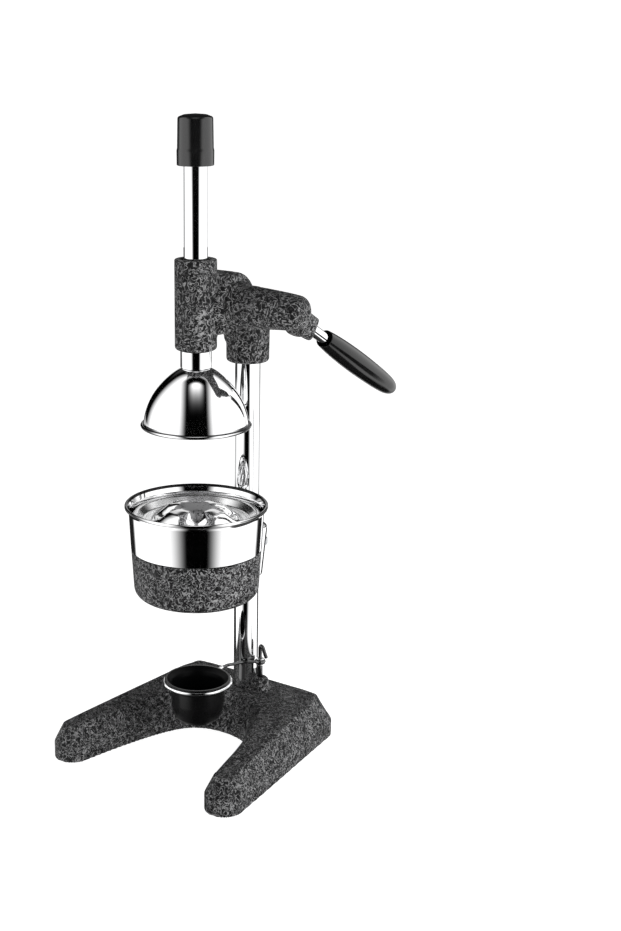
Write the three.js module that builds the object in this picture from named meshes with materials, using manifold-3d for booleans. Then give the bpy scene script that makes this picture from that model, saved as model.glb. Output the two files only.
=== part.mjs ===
// Lever citrus juice press: cast base, tubular column, geared head, toothed ram with a press bell,
// clamped bowl holder with a lift-out juice bowl and strainer, side lever, and a swing-out drip cup.
// Millimetres, +Z up. The origin is the middle of the footprint on the table; the column stands
// 20 mm behind it. -Y is the front, where the user stands, and the lever is on the +X side.
import * as THREE from "three";
import { mergeVertices } from "three/addons/utils/BufferGeometryUtils.js";
import Module from "manifold-3d";

const wasm = await Module();
wasm.setup();

// ---------------------------------------------------------------- driving dimensions
const COLUMN_Y = 20; // column axis behind the origin
const REACH = 90; // column axis to ram axis
const COL_R = 13.2; // column tube, outer radius
const COL_WALL = 2;
const COL_FOOT = 20.3; // lower end of the column tube
const COL_TOP = 470;
const GAP = 0.3; // running and fitting clearance

const RAM_R = 12; // toothed ram bar
const RAM_TOP = 655;
const RAM_FOOT = 426;
const STROKE = 88; // ram travel
const MODULE = 2.5; // gear module
const TEETH = 20;
const PITCH_R = (MODULE * TEETH) / 2; // 25
const PINION_DY = 34; // pinion axis behind the ram axis
const AXIS_Z = 479; // pinion axis above the table

const HEAD_TOP = 527; // front guide barrel
const HEAD_BOTTOM = 437;
const HEAD_R = 21;
const DRUM_R = 32.5; // gear housing, outer radius
const DRUM_BORE = 28.5;
const DRUM_X = [-27, 28];
const SOCKET_R = 22.3; // rear socket over the column
const SOCKET_BOTTOM = 410.3;

const SHAFT_R = 8;
const HUB_X = [28.6, 107.2]; // lever hub along the shaft axis
const ROD_X = 86.2; // plane of the lever rod
const ROD_R = 6;
const LEVER_DOWN = 29; // degrees below the horizontal, towards the rear
const BOSS_END = 60; // rod boss, from the shaft axis
const MITRE = 56; // where its mitred end crosses the rod
const GRIP = [77.6, 242.1]; // grip, from the shaft axis

const BELL = [ // press bell, outside, from the rim up: [radius, height]
  [52.9, 363.6], [51.8, 370], [49.75, 377], [46.85, 384], [43.1, 391], [38.3, 398], [33.2, 404], [28, 409], [21.8, 414], [16.1, 418], [11, 420.6],
];
const BELL_TOP = 421.9;
const SHEET = 1.4; // stainless sheet

const HOLDER_TOP = 229.4;
const HOLDER_BOTTOM = 178.7;
const BOWL_RIM_R = 72.5;
const BOWL_RIM_Z = 275.2;

const PIN = [20.5, -2]; // drip arm pivot, from the column axis
const FLUTE_AT = (53.2 * Math.PI) / 180; // one flute of the reamer lies this far from +X, clockwise
const RING_AT = [2, -91]; // middle of the drip ring, from the column axis
const RING_R = 35; // drip ring, wire centre
const RING_Z = 82;
const WIRE_R = 1.75;

const SEG = 28; // facets round a large part

// ---------------------------------------------------------------- finishes
const mat = (name, color, roughness, metalness) => {
  const m = new THREE.MeshStandardMaterial({ color, roughness, metalness });
  m.name = name;
  return m;
};
const M = {
  granite: mat("granite powder coat", 0x47474a, 0.55, 0.1),
  chrome: mat("chrome plate", 0xe4e6e8, 0.08, 1),
  stainless: mat("stainless sheet", 0xd2d4d6, 0.14, 1),
  steel: mat("machined steel", 0x9a9c9f, 0.35, 1),
  zinc: mat("zinc plated fastener", 0xb4b6b8, 0.3, 1),
  bronze: mat("sintered bronze", 0xa8804a, 0.45, 1),
  black: mat("gloss black plastic", 0x0c0c0d, 0.22, 0),
  satin: mat("satin black plastic", 0x121213, 0.42, 0),
  rubber: mat("black rubber", 0x17171a, 0.85, 0),
};

// ---------------------------------------------------------------- solids
// A closed three.js geometry as a solid, whichever way its faces wind.
function solid(geometry) {
  const g = geometry.clone();
  for (const n of ["normal", "uv", "uv1", "color"]) g.deleteAttribute(n);
  const merged = mergeVertices(g, 1e-4);
  const index = merged.index.array;
  const keep = [];
  for (let i = 0; i < index.length; i += 3) {
    const [a, b, c] = [index[i], index[i + 1], index[i + 2]];
    if (a !== b && b !== c && a !== c) keep.push(a, b, c);
  }
  const pos = merged.attributes.position;
  const [A, B, C] = [new THREE.Vector3(), new THREE.Vector3(), new THREE.Vector3()];
  let volume = 0;
  for (let i = 0; i < keep.length; i += 3) {
    A.fromBufferAttribute(pos, keep[i]);
    B.fromBufferAttribute(pos, keep[i + 1]);
    C.fromBufferAttribute(pos, keep[i + 2]);
    volume += A.dot(B.cross(C));
  }
  if (volume < 0)
    for (let i = 0; i < keep.length; i += 3)
      [keep[i + 1], keep[i + 2]] = [keep[i + 2], keep[i + 1]];
  return new wasm.Manifold(
    new wasm.Mesh({
      numProp: 3,
      vertProperties: new Float32Array(pos.array),
      triVerts: new Uint32Array(keep),
    }),
  );
}
const TO_X = new THREE.Matrix4().set(0, 1, 0, 0, 0, 0, 1, 0, 1, 0, 0, 0, 0, 0, 0, 1); // +Y of a lathe to +X
const SHEET_X = new THREE.Matrix4().set(0, 0, 1, 0, 1, 0, 0, 0, 0, 1, 0, 0, 0, 0, 0, 1); // drawn in (y, z), extruded along x
const UP = new THREE.Matrix4().makeRotationX(Math.PI / 2); // +Y of a lathe to +Z
const shift = (x, y, z) => new THREE.Matrix4().makeTranslation(x, y, z);
const about = (x, y, z, ax, deg) =>
  shift(x, y, z)
    .multiply(new THREE.Matrix4().makeRotationAxis(new THREE.Vector3(...ax), THREE.MathUtils.degToRad(deg)))
    .multiply(shift(-x, -y, -z));

// Turned part: profile points are [radius, height]; axis "z" or "x" or "y".
function latheGeometry(points, seg = SEG) {
  return new THREE.LatheGeometry(points.map(([r, h]) => new THREE.Vector2(r, h)), seg);
}
function turned(points, { seg = SEG, axis = "z", at = [0, 0, 0], deform } = {}) {
  const g = latheGeometry(points, seg);
  if (axis === "z") g.applyMatrix4(UP);
  if (axis === "x") g.applyMatrix4(TO_X);
  if (deform) {
    const p = g.attributes.position;
    const v = new THREE.Vector3();
    for (let i = 0; i < p.count; i++) {
      v.fromBufferAttribute(p, i);
      deform(v);
      p.setXYZ(i, v.x, v.y, v.z);
    }
  }
  g.applyMatrix4(shift(...at));
  return solid(g);
}
const rodAlong = (r, a, b, o = {}) => turned([[0, a], [r, a], [r, b], [0, b]], o);
const tubeAlong = (r, ri, a, b, o = {}) => turned([[ri, a], [r, a], [r, b], [ri, b], [ri, a]], o);
function block(x0, x1, y0, y1, z0, z1) {
  const g = new THREE.BoxGeometry(x1 - x0, y1 - y0, z1 - z0);
  g.translate((x0 + x1) / 2, (y0 + y1) / 2, (z0 + z1) / 2);
  return solid(g);
}
// Wire bent along a smooth curve.
function wire(points, r, steps, sides = 10, closed = false, tension = 0.5) {
  const curve = new THREE.CatmullRomCurve3(points.map((p) => new THREE.Vector3(...p)), closed, "catmullrom", tension);
  const section = new THREE.Shape();
  for (let i = 0; i < sides; i++) {
    const a = (i / sides) * 2 * Math.PI;
    section[i ? "lineTo" : "moveTo"](r * Math.cos(a), r * Math.sin(a));
  }
  section.closePath();
  return solid(new THREE.ExtrudeGeometry(section, { steps, extrudePath: curve, bevelEnabled: false, curveSegments: 1 }));
}
// Hexagon of across-flats af from z0 to z1, its corners chamfered on one side.
function hexagon(af, z0, z1, chamferTop = true) {
  const g = new THREE.CylinderGeometry(af / Math.sqrt(3), af / Math.sqrt(3), z1 - z0, 6);
  g.applyMatrix4(UP);
  g.translate(0, 0, (z0 + z1) / 2);
  const c = af * 0.06;
  const R = af / Math.sqrt(3) + 0.01;
  const p = chamferTop
    ? [[0, z0 - 1], [R + 1, z0 - 1], [R + 1, z1 - c - 0.6], [af / 2 - 0.1, z1], [0, z1]]
    : [[0, z1 + 1], [R + 1, z1 + 1], [R + 1, z0 + c + 0.6], [af / 2 - 0.1, z0], [0, z0]];
  return solid(g).intersect(turned(p, { seg: 12 }));
}
const moved = (s, m) => s.transform(m.elements.slice());

function mesh(name, s, material) {
  const m = s.getMesh();
  const n = m.numProp;
  const position = new Float32Array(m.numVert * 3);
  for (let i = 0; i < m.numVert; i++) position.set(m.vertProperties.subarray(i * n, i * n + 3), i * 3);
  let g = new THREE.BufferGeometry()
    .setAttribute("position", new THREE.BufferAttribute(position, 3))
    .setIndex(new THREE.BufferAttribute(new Uint32Array(m.triVerts), 1));
  g.computeVertexNormals();
  const made = new THREE.Mesh(g, material);
  made.name = name;
  return made;
}

// ---------------------------------------------------------------- scene graph
const press = new THREE.Group(); // the whole part
const stand = new THREE.Group(); // column axis, on the table
stand.position.set(0, COLUMN_Y, 0);
press.add(stand);
const ramAxis = new THREE.Group(); // ram axis, on the table
ramAxis.position.set(0, -REACH, 0);
stand.add(ramAxis);
const lever = new THREE.Group(); // pinion axis
lever.position.set(0, -REACH + PINION_DY, AXIS_Z);
stand.add(lever);
const rodLine = new THREE.Group(); // +Y runs along the lever rod, away from the shaft
rodLine.position.set(ROD_X, 0, 0);
rodLine.rotation.x = THREE.MathUtils.degToRad(-LEVER_DOWN);
lever.add(rodLine);
const pivot = new THREE.Group(); // drip arm pivot, on the table
pivot.position.set(PIN[0], PIN[1], 0);
stand.add(pivot);

// ---------------------------------------------------------------- base casting
// Outline at the table, right half, from the middle of the arch round the leg tip to the rear.
const arch = [
  [0, -40.5], [13, -41.2], [24.5, -44.4], [34.5, -50.4], [43, -59.6], [50, -72], [57.6, -91], [68.8, -130.5], [78.9, -177.5],
];
const tip = [];
for (let i = 1; i < 8; i++) {
  const a = Math.PI + (i / 8) * Math.PI;
  tip.push([98.5 + 19.7 * Math.cos(a), -177.5 + 19.1 * Math.sin(a)]);
}
const outer = [[118.1, -176], [110.6, -103], [103.6, -38], [98.2, 15]];
const corner = [];
for (let i = 1; i <= 4; i++) {
  const a = (i / 4) * (Math.PI / 2);
  corner.push([76 + 22 * Math.cos(a), 16.3 + 22 * Math.sin(a)]);
}
const half = [...arch, ...tip, ...outer, ...corner, [38, 38.3]];
const outline = [
  ...half,
  [0, 38.3],
  ...half.slice(1).reverse().map(([x, y]) => [-x, y]),
];
const normals = outline.map((_, i) => {
  const a = outline[(i + outline.length - 1) % outline.length];
  const b = outline[(i + 1) % outline.length];
  const l = Math.hypot(b[0] - a[0], b[1] - a[1]);
  return [(b[1] - a[1]) / l, -(b[0] - a[0]) / l]; // outward, the outline runs anticlockwise
});
const lerp = THREE.MathUtils.lerp;
const ramp = THREE.MathUtils.smoothstep;
const deckZ = (y) => lerp(38.5, 46.5, THREE.MathUtils.clamp((y + 177) / 170, 0, 1));
function lean([x, y]) {
  // how far the top edge stands inside the table outline
  if (y > 15.5) return lerp(14.5, 16, ramp(y, 15.5, 38));
  if (Math.abs(x) > 97) return lerp(10.2, 14.5, THREE.MathUtils.clamp((y + 150) / 160, 0, 1));
  return 10.2;
}
// Levels: [share of the slope, share of the lean]; the sides stand upright to z = 18, then slope in.
function baseShell(inset, bottom, drop, levels) {
  const shape = new THREE.Shape(outline.map(([x, y]) => new THREE.Vector2(x, y)));
  const g = new THREE.ExtrudeGeometry(shape, { depth: 1, steps: levels.length - 1, bevelEnabled: false, curveSegments: 1 });
  const p = g.attributes.position;
  for (let i = 0; i < p.count; i++) {
    const [x, y, z] = [p.getX(i), p.getY(i), p.getZ(i)];
    let near = 0;
    let best = 1e9;
    outline.forEach(([a, b], k) => {
      const d = (a - x) ** 2 + (b - y) ** 2;
      if (d < best) [best, near] = [d, k];
    });
    const [share, side] = levels[Math.round(z * (levels.length - 1))];
    const [nx, ny] = normals[near];
    const q = outline[near];
    const off = inset + side * lean(q);
    const top = deckZ(q[1]) - drop;
    p.setXYZ(i, q[0] - nx * off, q[1] - ny * off, share < 0 ? bottom : lerp(18, top, share));
  }
  return solid(g);
}
const BASE_Z = 1.2;
{
  const shell = baseShell(0, BASE_Z, 0, [[-1, 0], [0, 0], [0.15, 0.08], [0.9, 0.87], [1, 1.07]]);
  const hollow = baseShell(5.2, BASE_Z - 1, 6, [[-1, 0], [0, 0], [1, 1]]);
  const boss = turned([[0, 12], [19.6, 12], [20.6, 38], [20.6, 44], [0, 44]], { seg: 28 });
  const pinBoss = turned([[0, 40], [13.4, 40], [13, 45.6], [11, 48.6], [10.2, 53.6], [8.6, 58], [5.6, 60.2], [0, 60.8]], { seg: 20, at: [PIN[0], PIN[1], 0] });
  const pads = [[97, -174], [-97, -174], [75, 15], [-75, 15]].map(([x, y]) => rodAlong(11.5, 5.6, 60, { seg: 12, at: [x, y, 0] }));
  const ribs = [block(-92, 92, -3, 2, 8, 60), block(-2.5, 2.5, -40, 36, 8, 60)];
  const inside = wasm.Manifold.union([...pads, ...ribs, rodAlong(24, 8, 40, { seg: 20 })]).intersect(shell);
  let base = shell.subtract(hollow).add(inside).add(boss).add(pinBoss);
  base = base.subtract(wasm.Manifold.union([
    rodAlong(COL_R + GAP, 20, 70, { seg: SEG }), // column socket
    rodAlong(6.6, 0, 30, { seg: 16 }), // bolt hole
    block(-17, 17, -17, 17, 0, 11.9), // room for the bolt head
    rodAlong(2.3, 47.7, 70, { seg: 12, at: [PIN[0], PIN[1], 0] }), // pivot pin hole
    ...[[97, -174], [-97, -174], [75, 15], [-75, 15]].map(([x, y]) => rodAlong(1.9, 0, 18, { seg: 8, at: [x, y, 0] })),
  ]));
  stand.add(mesh("base_casting", base, M.granite));
}
[["front_right", 97, -174], ["front_left", -97, -174], ["rear_right", 75, 15], ["rear_left", -75, 15]].forEach(([where, x, y]) => {
  const foot = turned([[2.2, 5.3], [2.2, 2.4], [4.3, 2.4], [4.3, 0], [8.4, 0], [9.4, 1.1], [9.8, 5.3], [2.2, 5.3]], { seg: 12 });
  const f = mesh("rubber_foot_" + where, foot, M.rubber);
  f.position.set(x, y, 0);
  stand.add(f);
  const screw = turned([[0, 0.5], [3.3, 0.5], [3.8, 2.1], [1.5, 2.1], [1.5, 16], [0, 16]], { seg: 10 });
  const s = mesh("foot_screw_" + where, screw, M.zinc);
  s.position.set(x, y, 0);
  stand.add(s);
});

// ---------------------------------------------------------------- column
stand.add(mesh("column_tube", tubeAlong(COL_R, COL_R - COL_WALL, COL_FOOT, COL_TOP), M.chrome));
stand.add(mesh("column_plug", tubeAlong(COL_R - COL_WALL - GAP, 6.3, COL_FOOT + 0.2, 48, { seg: 20 }), M.steel));
{
  const bolt = hexagon(19, 2.2, 9.3, false).add(rodAlong(6, 9, 45.5, { seg: 16 }));
  stand.add(mesh("column_bolt", bolt, M.zinc));
  stand.add(mesh("column_washer", tubeAlong(12, 6.6, 9.6, 11.6, { seg: 16 }), M.zinc));
}

// ---------------------------------------------------------------- bowl holder
{
  const cup = turned([
    [12.5, HOLDER_BOTTOM], [53.5, HOLDER_BOTTOM], [59.6, 180.6], [63.5, 186], [65, 196],
    [66.9, HOLDER_TOP], [63.9, HOLDER_TOP],
    [62.6, 200], [60.6, 190.4], [53, 185.4], [12.5, 184.4], [12.5, HOLDER_BOTTOM],
  ], { seg: 32, at: [0, -REACH, 0] });
  const void_ = turned([[0, 185.4], [53, 185.4], [60.6, 190.4], [62.6, 200], [63.9, HOLDER_TOP], [64.4, 260], [0, 260]], { seg: 32, at: [0, -REACH, 0] });
  const collar = turned([[0, 175.5], [17, 175.5], [22, 226], [22, 230.6], [0, 230.6]], { seg: 28 });
  const web = block(-17, 17, -34, -6, 181, 225.6).intersect(turned([[0, 178], [40, 178], [40, 219], [30, 226], [0, 226]], { seg: 24, at: [0, -12, 0] }));
  const lug = turned([[0, 10], [8.6, 10], [7.8, 25.8], [0, 25.8]], { seg: 16, axis: "y", at: [0, 0, 205] });
  let holder = cup.add(collar.add(web).add(lug).subtract(void_));
  holder = holder.subtract(rodAlong(COL_R + GAP, 160, 250));
  holder = holder.subtract(rodAlong(4.4, 8, 40, { seg: 12, axis: "y", at: [0, 0, 205] }));
  stand.add(mesh("bowl_holder", holder, M.granite));
  const screw = moved(hexagon(13, 0, 5.4).add(rodAlong(4, -12.2, 1, { seg: 12 })), new THREE.Matrix4().makeRotationX(-Math.PI / 2));
  const s = mesh("bowl_clamp_screw", screw, M.zinc);
  s.position.set(0, 26.1, 205);
  stand.add(s);
}

// ---------------------------------------------------------------- head casting
{
  const front = turned([
    [0, HEAD_BOTTOM], [18.8, HEAD_BOTTOM], [HEAD_R, HEAD_BOTTOM + 3.4],
    [HEAD_R, HEAD_TOP - 1.4], [19.6, HEAD_TOP], [0, HEAD_TOP],
  ], { seg: SEG, at: [0, -REACH, 0] });
  const drum = turned([
    [0, DRUM_X[0]], [DRUM_R, DRUM_X[0]], [DRUM_R, DRUM_X[1] - 6.6],
    [DRUM_R - 2, DRUM_X[1] - 2], [DRUM_R - 6.4, DRUM_X[1]], [0, DRUM_X[1]],
  ], { seg: 32, axis: "x", at: [0, -REACH + PINION_DY, AXIS_Z] });
  // below the shaft the housing is only as wide as the gear, and flat underneath
  const lowDrum = block(11, 40, -96, -16, 440, AXIS_Z - 22).add(block(-40, 11, -96, -16, 440, AXIS_Z - 30.7));
  const bearing = rodAlong(22.4, 5, DRUM_X[1] - 1, { seg: 28, axis: "x", at: [0, -REACH + PINION_DY, AXIS_Z] });
  const socket = turned([
    [0, SOCKET_BOTTOM], [20, SOCKET_BOTTOM], [SOCKET_R, SOCKET_BOTTOM + 3.4],
    [SOCKET_R + 0.6, 470], [20.4, 479.4], [12.5, 485.4], [0, 487.4],
  ], { seg: SEG });
  // the bridge between gear housing and socket, drawn from the side
  const side = new THREE.Shape();
  side.moveTo(-84, 445.6); // seen from +X: (y, z)
  side.lineTo(-80, 450);
  side.lineTo(-75, 453.8);
  side.lineTo(-70, 456.8);
  side.lineTo(-64, 458.4);
  side.lineTo(-44, 458.2);
  side.lineTo(-32, 455);
  side.lineTo(-23, 446);
  side.lineTo(-17, 433);
  side.lineTo(-4, 433);
  side.lineTo(-4, 486.4);
  side.lineTo(-16, 491);
  side.lineTo(-30, 499);
  side.lineTo(-44, 507);
  side.lineTo(-56, 510.8);
  side.lineTo(-68, 511.5);
  side.lineTo(-84, 511.5);
  side.closePath();
  const bridge = solid(new THREE.ExtrudeGeometry(side, { depth: 31, bevelEnabled: true, bevelThickness: 4, bevelSize: 3, bevelOffset: -3, bevelSegments: 1 }).translate(0, 0, -15.5).applyMatrix4(SHEET_X));
  const lug = [440, 424].map((z) => turned([[0, 12], [7.4, 12], [6.6, 25], [0, 25]], { seg: 14, axis: "y", at: [0, 0, z] }));
  let head = wasm.Manifold.union([front, drum.subtract(lowDrum), bearing, socket, bridge, ...lug]);
  head = head.subtract(wasm.Manifold.union([
    rodAlong(15, HEAD_BOTTOM - 5, HEAD_TOP + 5, { seg: SEG, at: [0, -REACH, 0] }), // ram bore
    rodAlong(DRUM_BORE, DRUM_X[0] - 5, 8.6, { seg: 32, axis: "x", at: [0, -REACH + PINION_DY, AXIS_Z] }), // gear chamber
    rodAlong(15, 0, 14, { seg: 24, axis: "x", at: [0, -REACH + PINION_DY, AXIS_Z] }), // room for the gear's collar
    rodAlong(11, 10, 40, { seg: 24, axis: "x", at: [0, -REACH + PINION_DY, AXIS_Z] }), // right bearing seat
    rodAlong(COL_R + GAP, SOCKET_BOTTOM - 5, COL_TOP + 0.4, { seg: SEG }), // column socket
    ...[440, 424].map((z) => rodAlong(4.4, 8, 40, { seg: 12, axis: "y", at: [0, 0, z] })),
    ...[45, 135, 225, 315].map((a) => {
      const t = THREE.MathUtils.degToRad(a);
      return rodAlong(1.8, DRUM_X[0] - 5, DRUM_X[0] + 13, { seg: 8, axis: "x", at: [0, -REACH + PINION_DY + 30.4 * Math.cos(t), AXIS_Z + 30.4 * Math.sin(t)] });
    }),
  ]));
  stand.add(mesh("head_casting", head, M.granite));
  [["upper", 440], ["lower", 424]].forEach(([where, z]) => {
    const screw = moved(hexagon(13, 0, 5.4).add(rodAlong(4, -11.4, 1, { seg: 12 })), new THREE.Matrix4().makeRotationX(-Math.PI / 2));
    const s = mesh("head_clamp_screw_" + where, screw, M.zinc);
    s.position.set(0, 25.3, z);
    stand.add(s);
  });
  // ram guide bushes, notched at the back so the rack teeth and the gear pass
  const bushUp = tubeAlong(14.7, RAM_R + GAP, 507.6, HEAD_TOP - 4.2, { seg: 24 });
  const bushLow = tubeAlong(14.7, RAM_R + GAP, HEAD_BOTTOM + 0.6, 449, { seg: 24 });
  ramAxis.add(mesh("guide_bush_upper", bushUp, M.bronze), mesh("guide_bush_lower", bushLow, M.bronze));
  // shaft bearings and the cover on the far side of the gear chamber
  lever.add(mesh("shaft_bush_right", tubeAlong(10.7, SHAFT_R + GAP, 14.4, DRUM_X[1] - 0.2, { seg: 24, axis: "x" }), M.bronze));
  lever.add(mesh("shaft_bush_left", turned([[SHAFT_R + GAP, -32.4], [10.7, -32.4], [10.7, -19.4], [SHAFT_R + GAP, -19.4], [SHAFT_R + GAP, -32.4]], { seg: 24, axis: "x" }), M.bronze));
  let cover = turned([
    [11, -32.8], [16, -32.8], [16.6, -30.9], [DRUM_R - 1.4, -30.7], [DRUM_R - 0.2, DRUM_X[0] - 0.3],
    [DRUM_BORE - GAP, DRUM_X[0] - 0.3], [DRUM_BORE - GAP, -22.6], [24.6, -22.6], [24.6, -26.2], [15.2, -26.2], [15.2, -19], [11, -19], [11, -32.8],
  ], { seg: 28, axis: "x" });
  [45, 135, 225, 315].forEach((a, i) => {
    const t = THREE.MathUtils.degToRad(a);
    const at = [0, 30.4 * Math.cos(t), 30.4 * Math.sin(t)];
    cover = cover.subtract(rodAlong(1.8, -40, -20, { seg: 8, axis: "x", at }).add(rodAlong(3.2, -40, -29.4, { seg: 12, axis: "x", at })));
    const screw = turned([[0, -32.3], [2.2, -31.9], [2.7, -29.7], [1.4, -29.7], [1.4, -15], [0, -15]], { seg: 10, axis: "x", at });
    lever.add(mesh("cover_screw_" + (i + 1), screw, M.zinc));
  });
  lever.add(mesh("gear_cover", cover, M.granite));
}

// ---------------------------------------------------------------- ram: toothed bar, cap, press bell
const PRESSURE = THREE.MathUtils.degToRad(20);
{
  const tooth = Math.PI * MODULE;
  const pitchY = PINION_DY - PITCH_R; // 9, behind the ram axis
  const tipY = pitchY + 2.3;
  const rootY = pitchY - 3.1;
  const space = tooth / 2 + 0.22; // gap width at the pitch line
  const wTip = space / 2 + (tipY - pitchY) * Math.tan(PRESSURE);
  const wRoot = space / 2 - (pitchY - rootY) * Math.tan(PRESSURE);
  const first = -2; // spaces below the rest mesh point
  const last = 13; // spaces above it, for the whole stroke
  const cut = new THREE.Shape();
  cut.moveTo(16, AXIS_Z + first * tooth - tooth / 2);
  for (let k = first; k <= last; k++) {
    const z = AXIS_Z + k * tooth;
    if (k === first) cut.lineTo(tipY, z - tooth / 2);
    cut.lineTo(tipY, z - wTip);
    cut.lineTo(rootY, z - wRoot);
    cut.lineTo(rootY, z + wRoot);
    cut.lineTo(tipY, z + wTip);
    if (k === last) cut.lineTo(tipY, z + tooth / 2);
  }
  cut.lineTo(16, AXIS_Z + last * tooth + tooth / 2);
  cut.closePath();
  const cutter = solid(new THREE.ExtrudeGeometry(cut, { depth: 30, bevelEnabled: false }).translate(0, 0, -15).applyMatrix4(SHEET_X));
  const bar = turned([
    [0, 409.2], [5.2, 409.2], [6, 410], [6, RAM_FOOT], [11.4, RAM_FOOT], [RAM_R, RAM_FOOT + 0.7], [RAM_R, RAM_TOP - 1], [11, RAM_TOP], [0, RAM_TOP],
  ]);
  ramAxis.add(mesh("ram_rack", bar.subtract(cutter), M.chrome));
  const cap = turned([
    [RAM_R + GAP, 616.8], [17.8, 616.8], [18.3, 618], [18.2, 631.2], [17, 657], [15.4, 662],
    [9, 665], [0, 665.7], [0, RAM_TOP + 0.4], [RAM_R + GAP, RAM_TOP + 0.4], [RAM_R + GAP, 616.8],
  ], { seg: 28 });
  ramAxis.add(mesh("ram_cap", cap, M.black));
  const neck = turned([
    [6.4, BELL_TOP + 0.35], [11, BELL_TOP - 0.95], [15.2, 418.95], [15.6, 419.4], [15.6, HEAD_BOTTOM - 0.6],
    [RAM_R + GAP, HEAD_BOTTOM - 0.6], [RAM_R + GAP, RAM_FOOT - 0.3], [6.4, RAM_FOOT - 0.3], [6.4, BELL_TOP + 0.35],
  ], { seg: 28 });
  ramAxis.add(mesh("bell_neck", neck, M.chrome));
  // spun dome with a rolled rim
  const inside = BELL.map(([r, z], i) => {
    const [a, b] = [BELL[Math.max(i - 1, 0)], BELL[Math.min(i + 1, BELL.length - 1)]];
    const l = Math.hypot(b[0] - a[0], b[1] - a[1]);
    return [r - (SHEET * (b[1] - a[1])) / l, z - (SHEET * (a[0] - b[0])) / l];
  });
  const bell = turned([
    [6.5, BELL_TOP], ...BELL.slice().reverse(),
    [54.2, 361.8], [56.1, 360.1], [54.3, 358.3], [51.6, 359.4], ...inside,
    [6.5, BELL_TOP - SHEET], [6.5, BELL_TOP],
  ]);
  ramAxis.add(mesh("press_bell", bell, M.stainless));
  ramAxis.add(mesh("bell_washer", tubeAlong(10.4, 6.5, 417.2, 418.6, { seg: 16 }), M.stainless));
  ramAxis.add(mesh("bell_nut", hexagon(18, 410.2, 416.9, false).subtract(rodAlong(6.5, 400, 420, { seg: 12 })), M.stainless));
}

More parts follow.
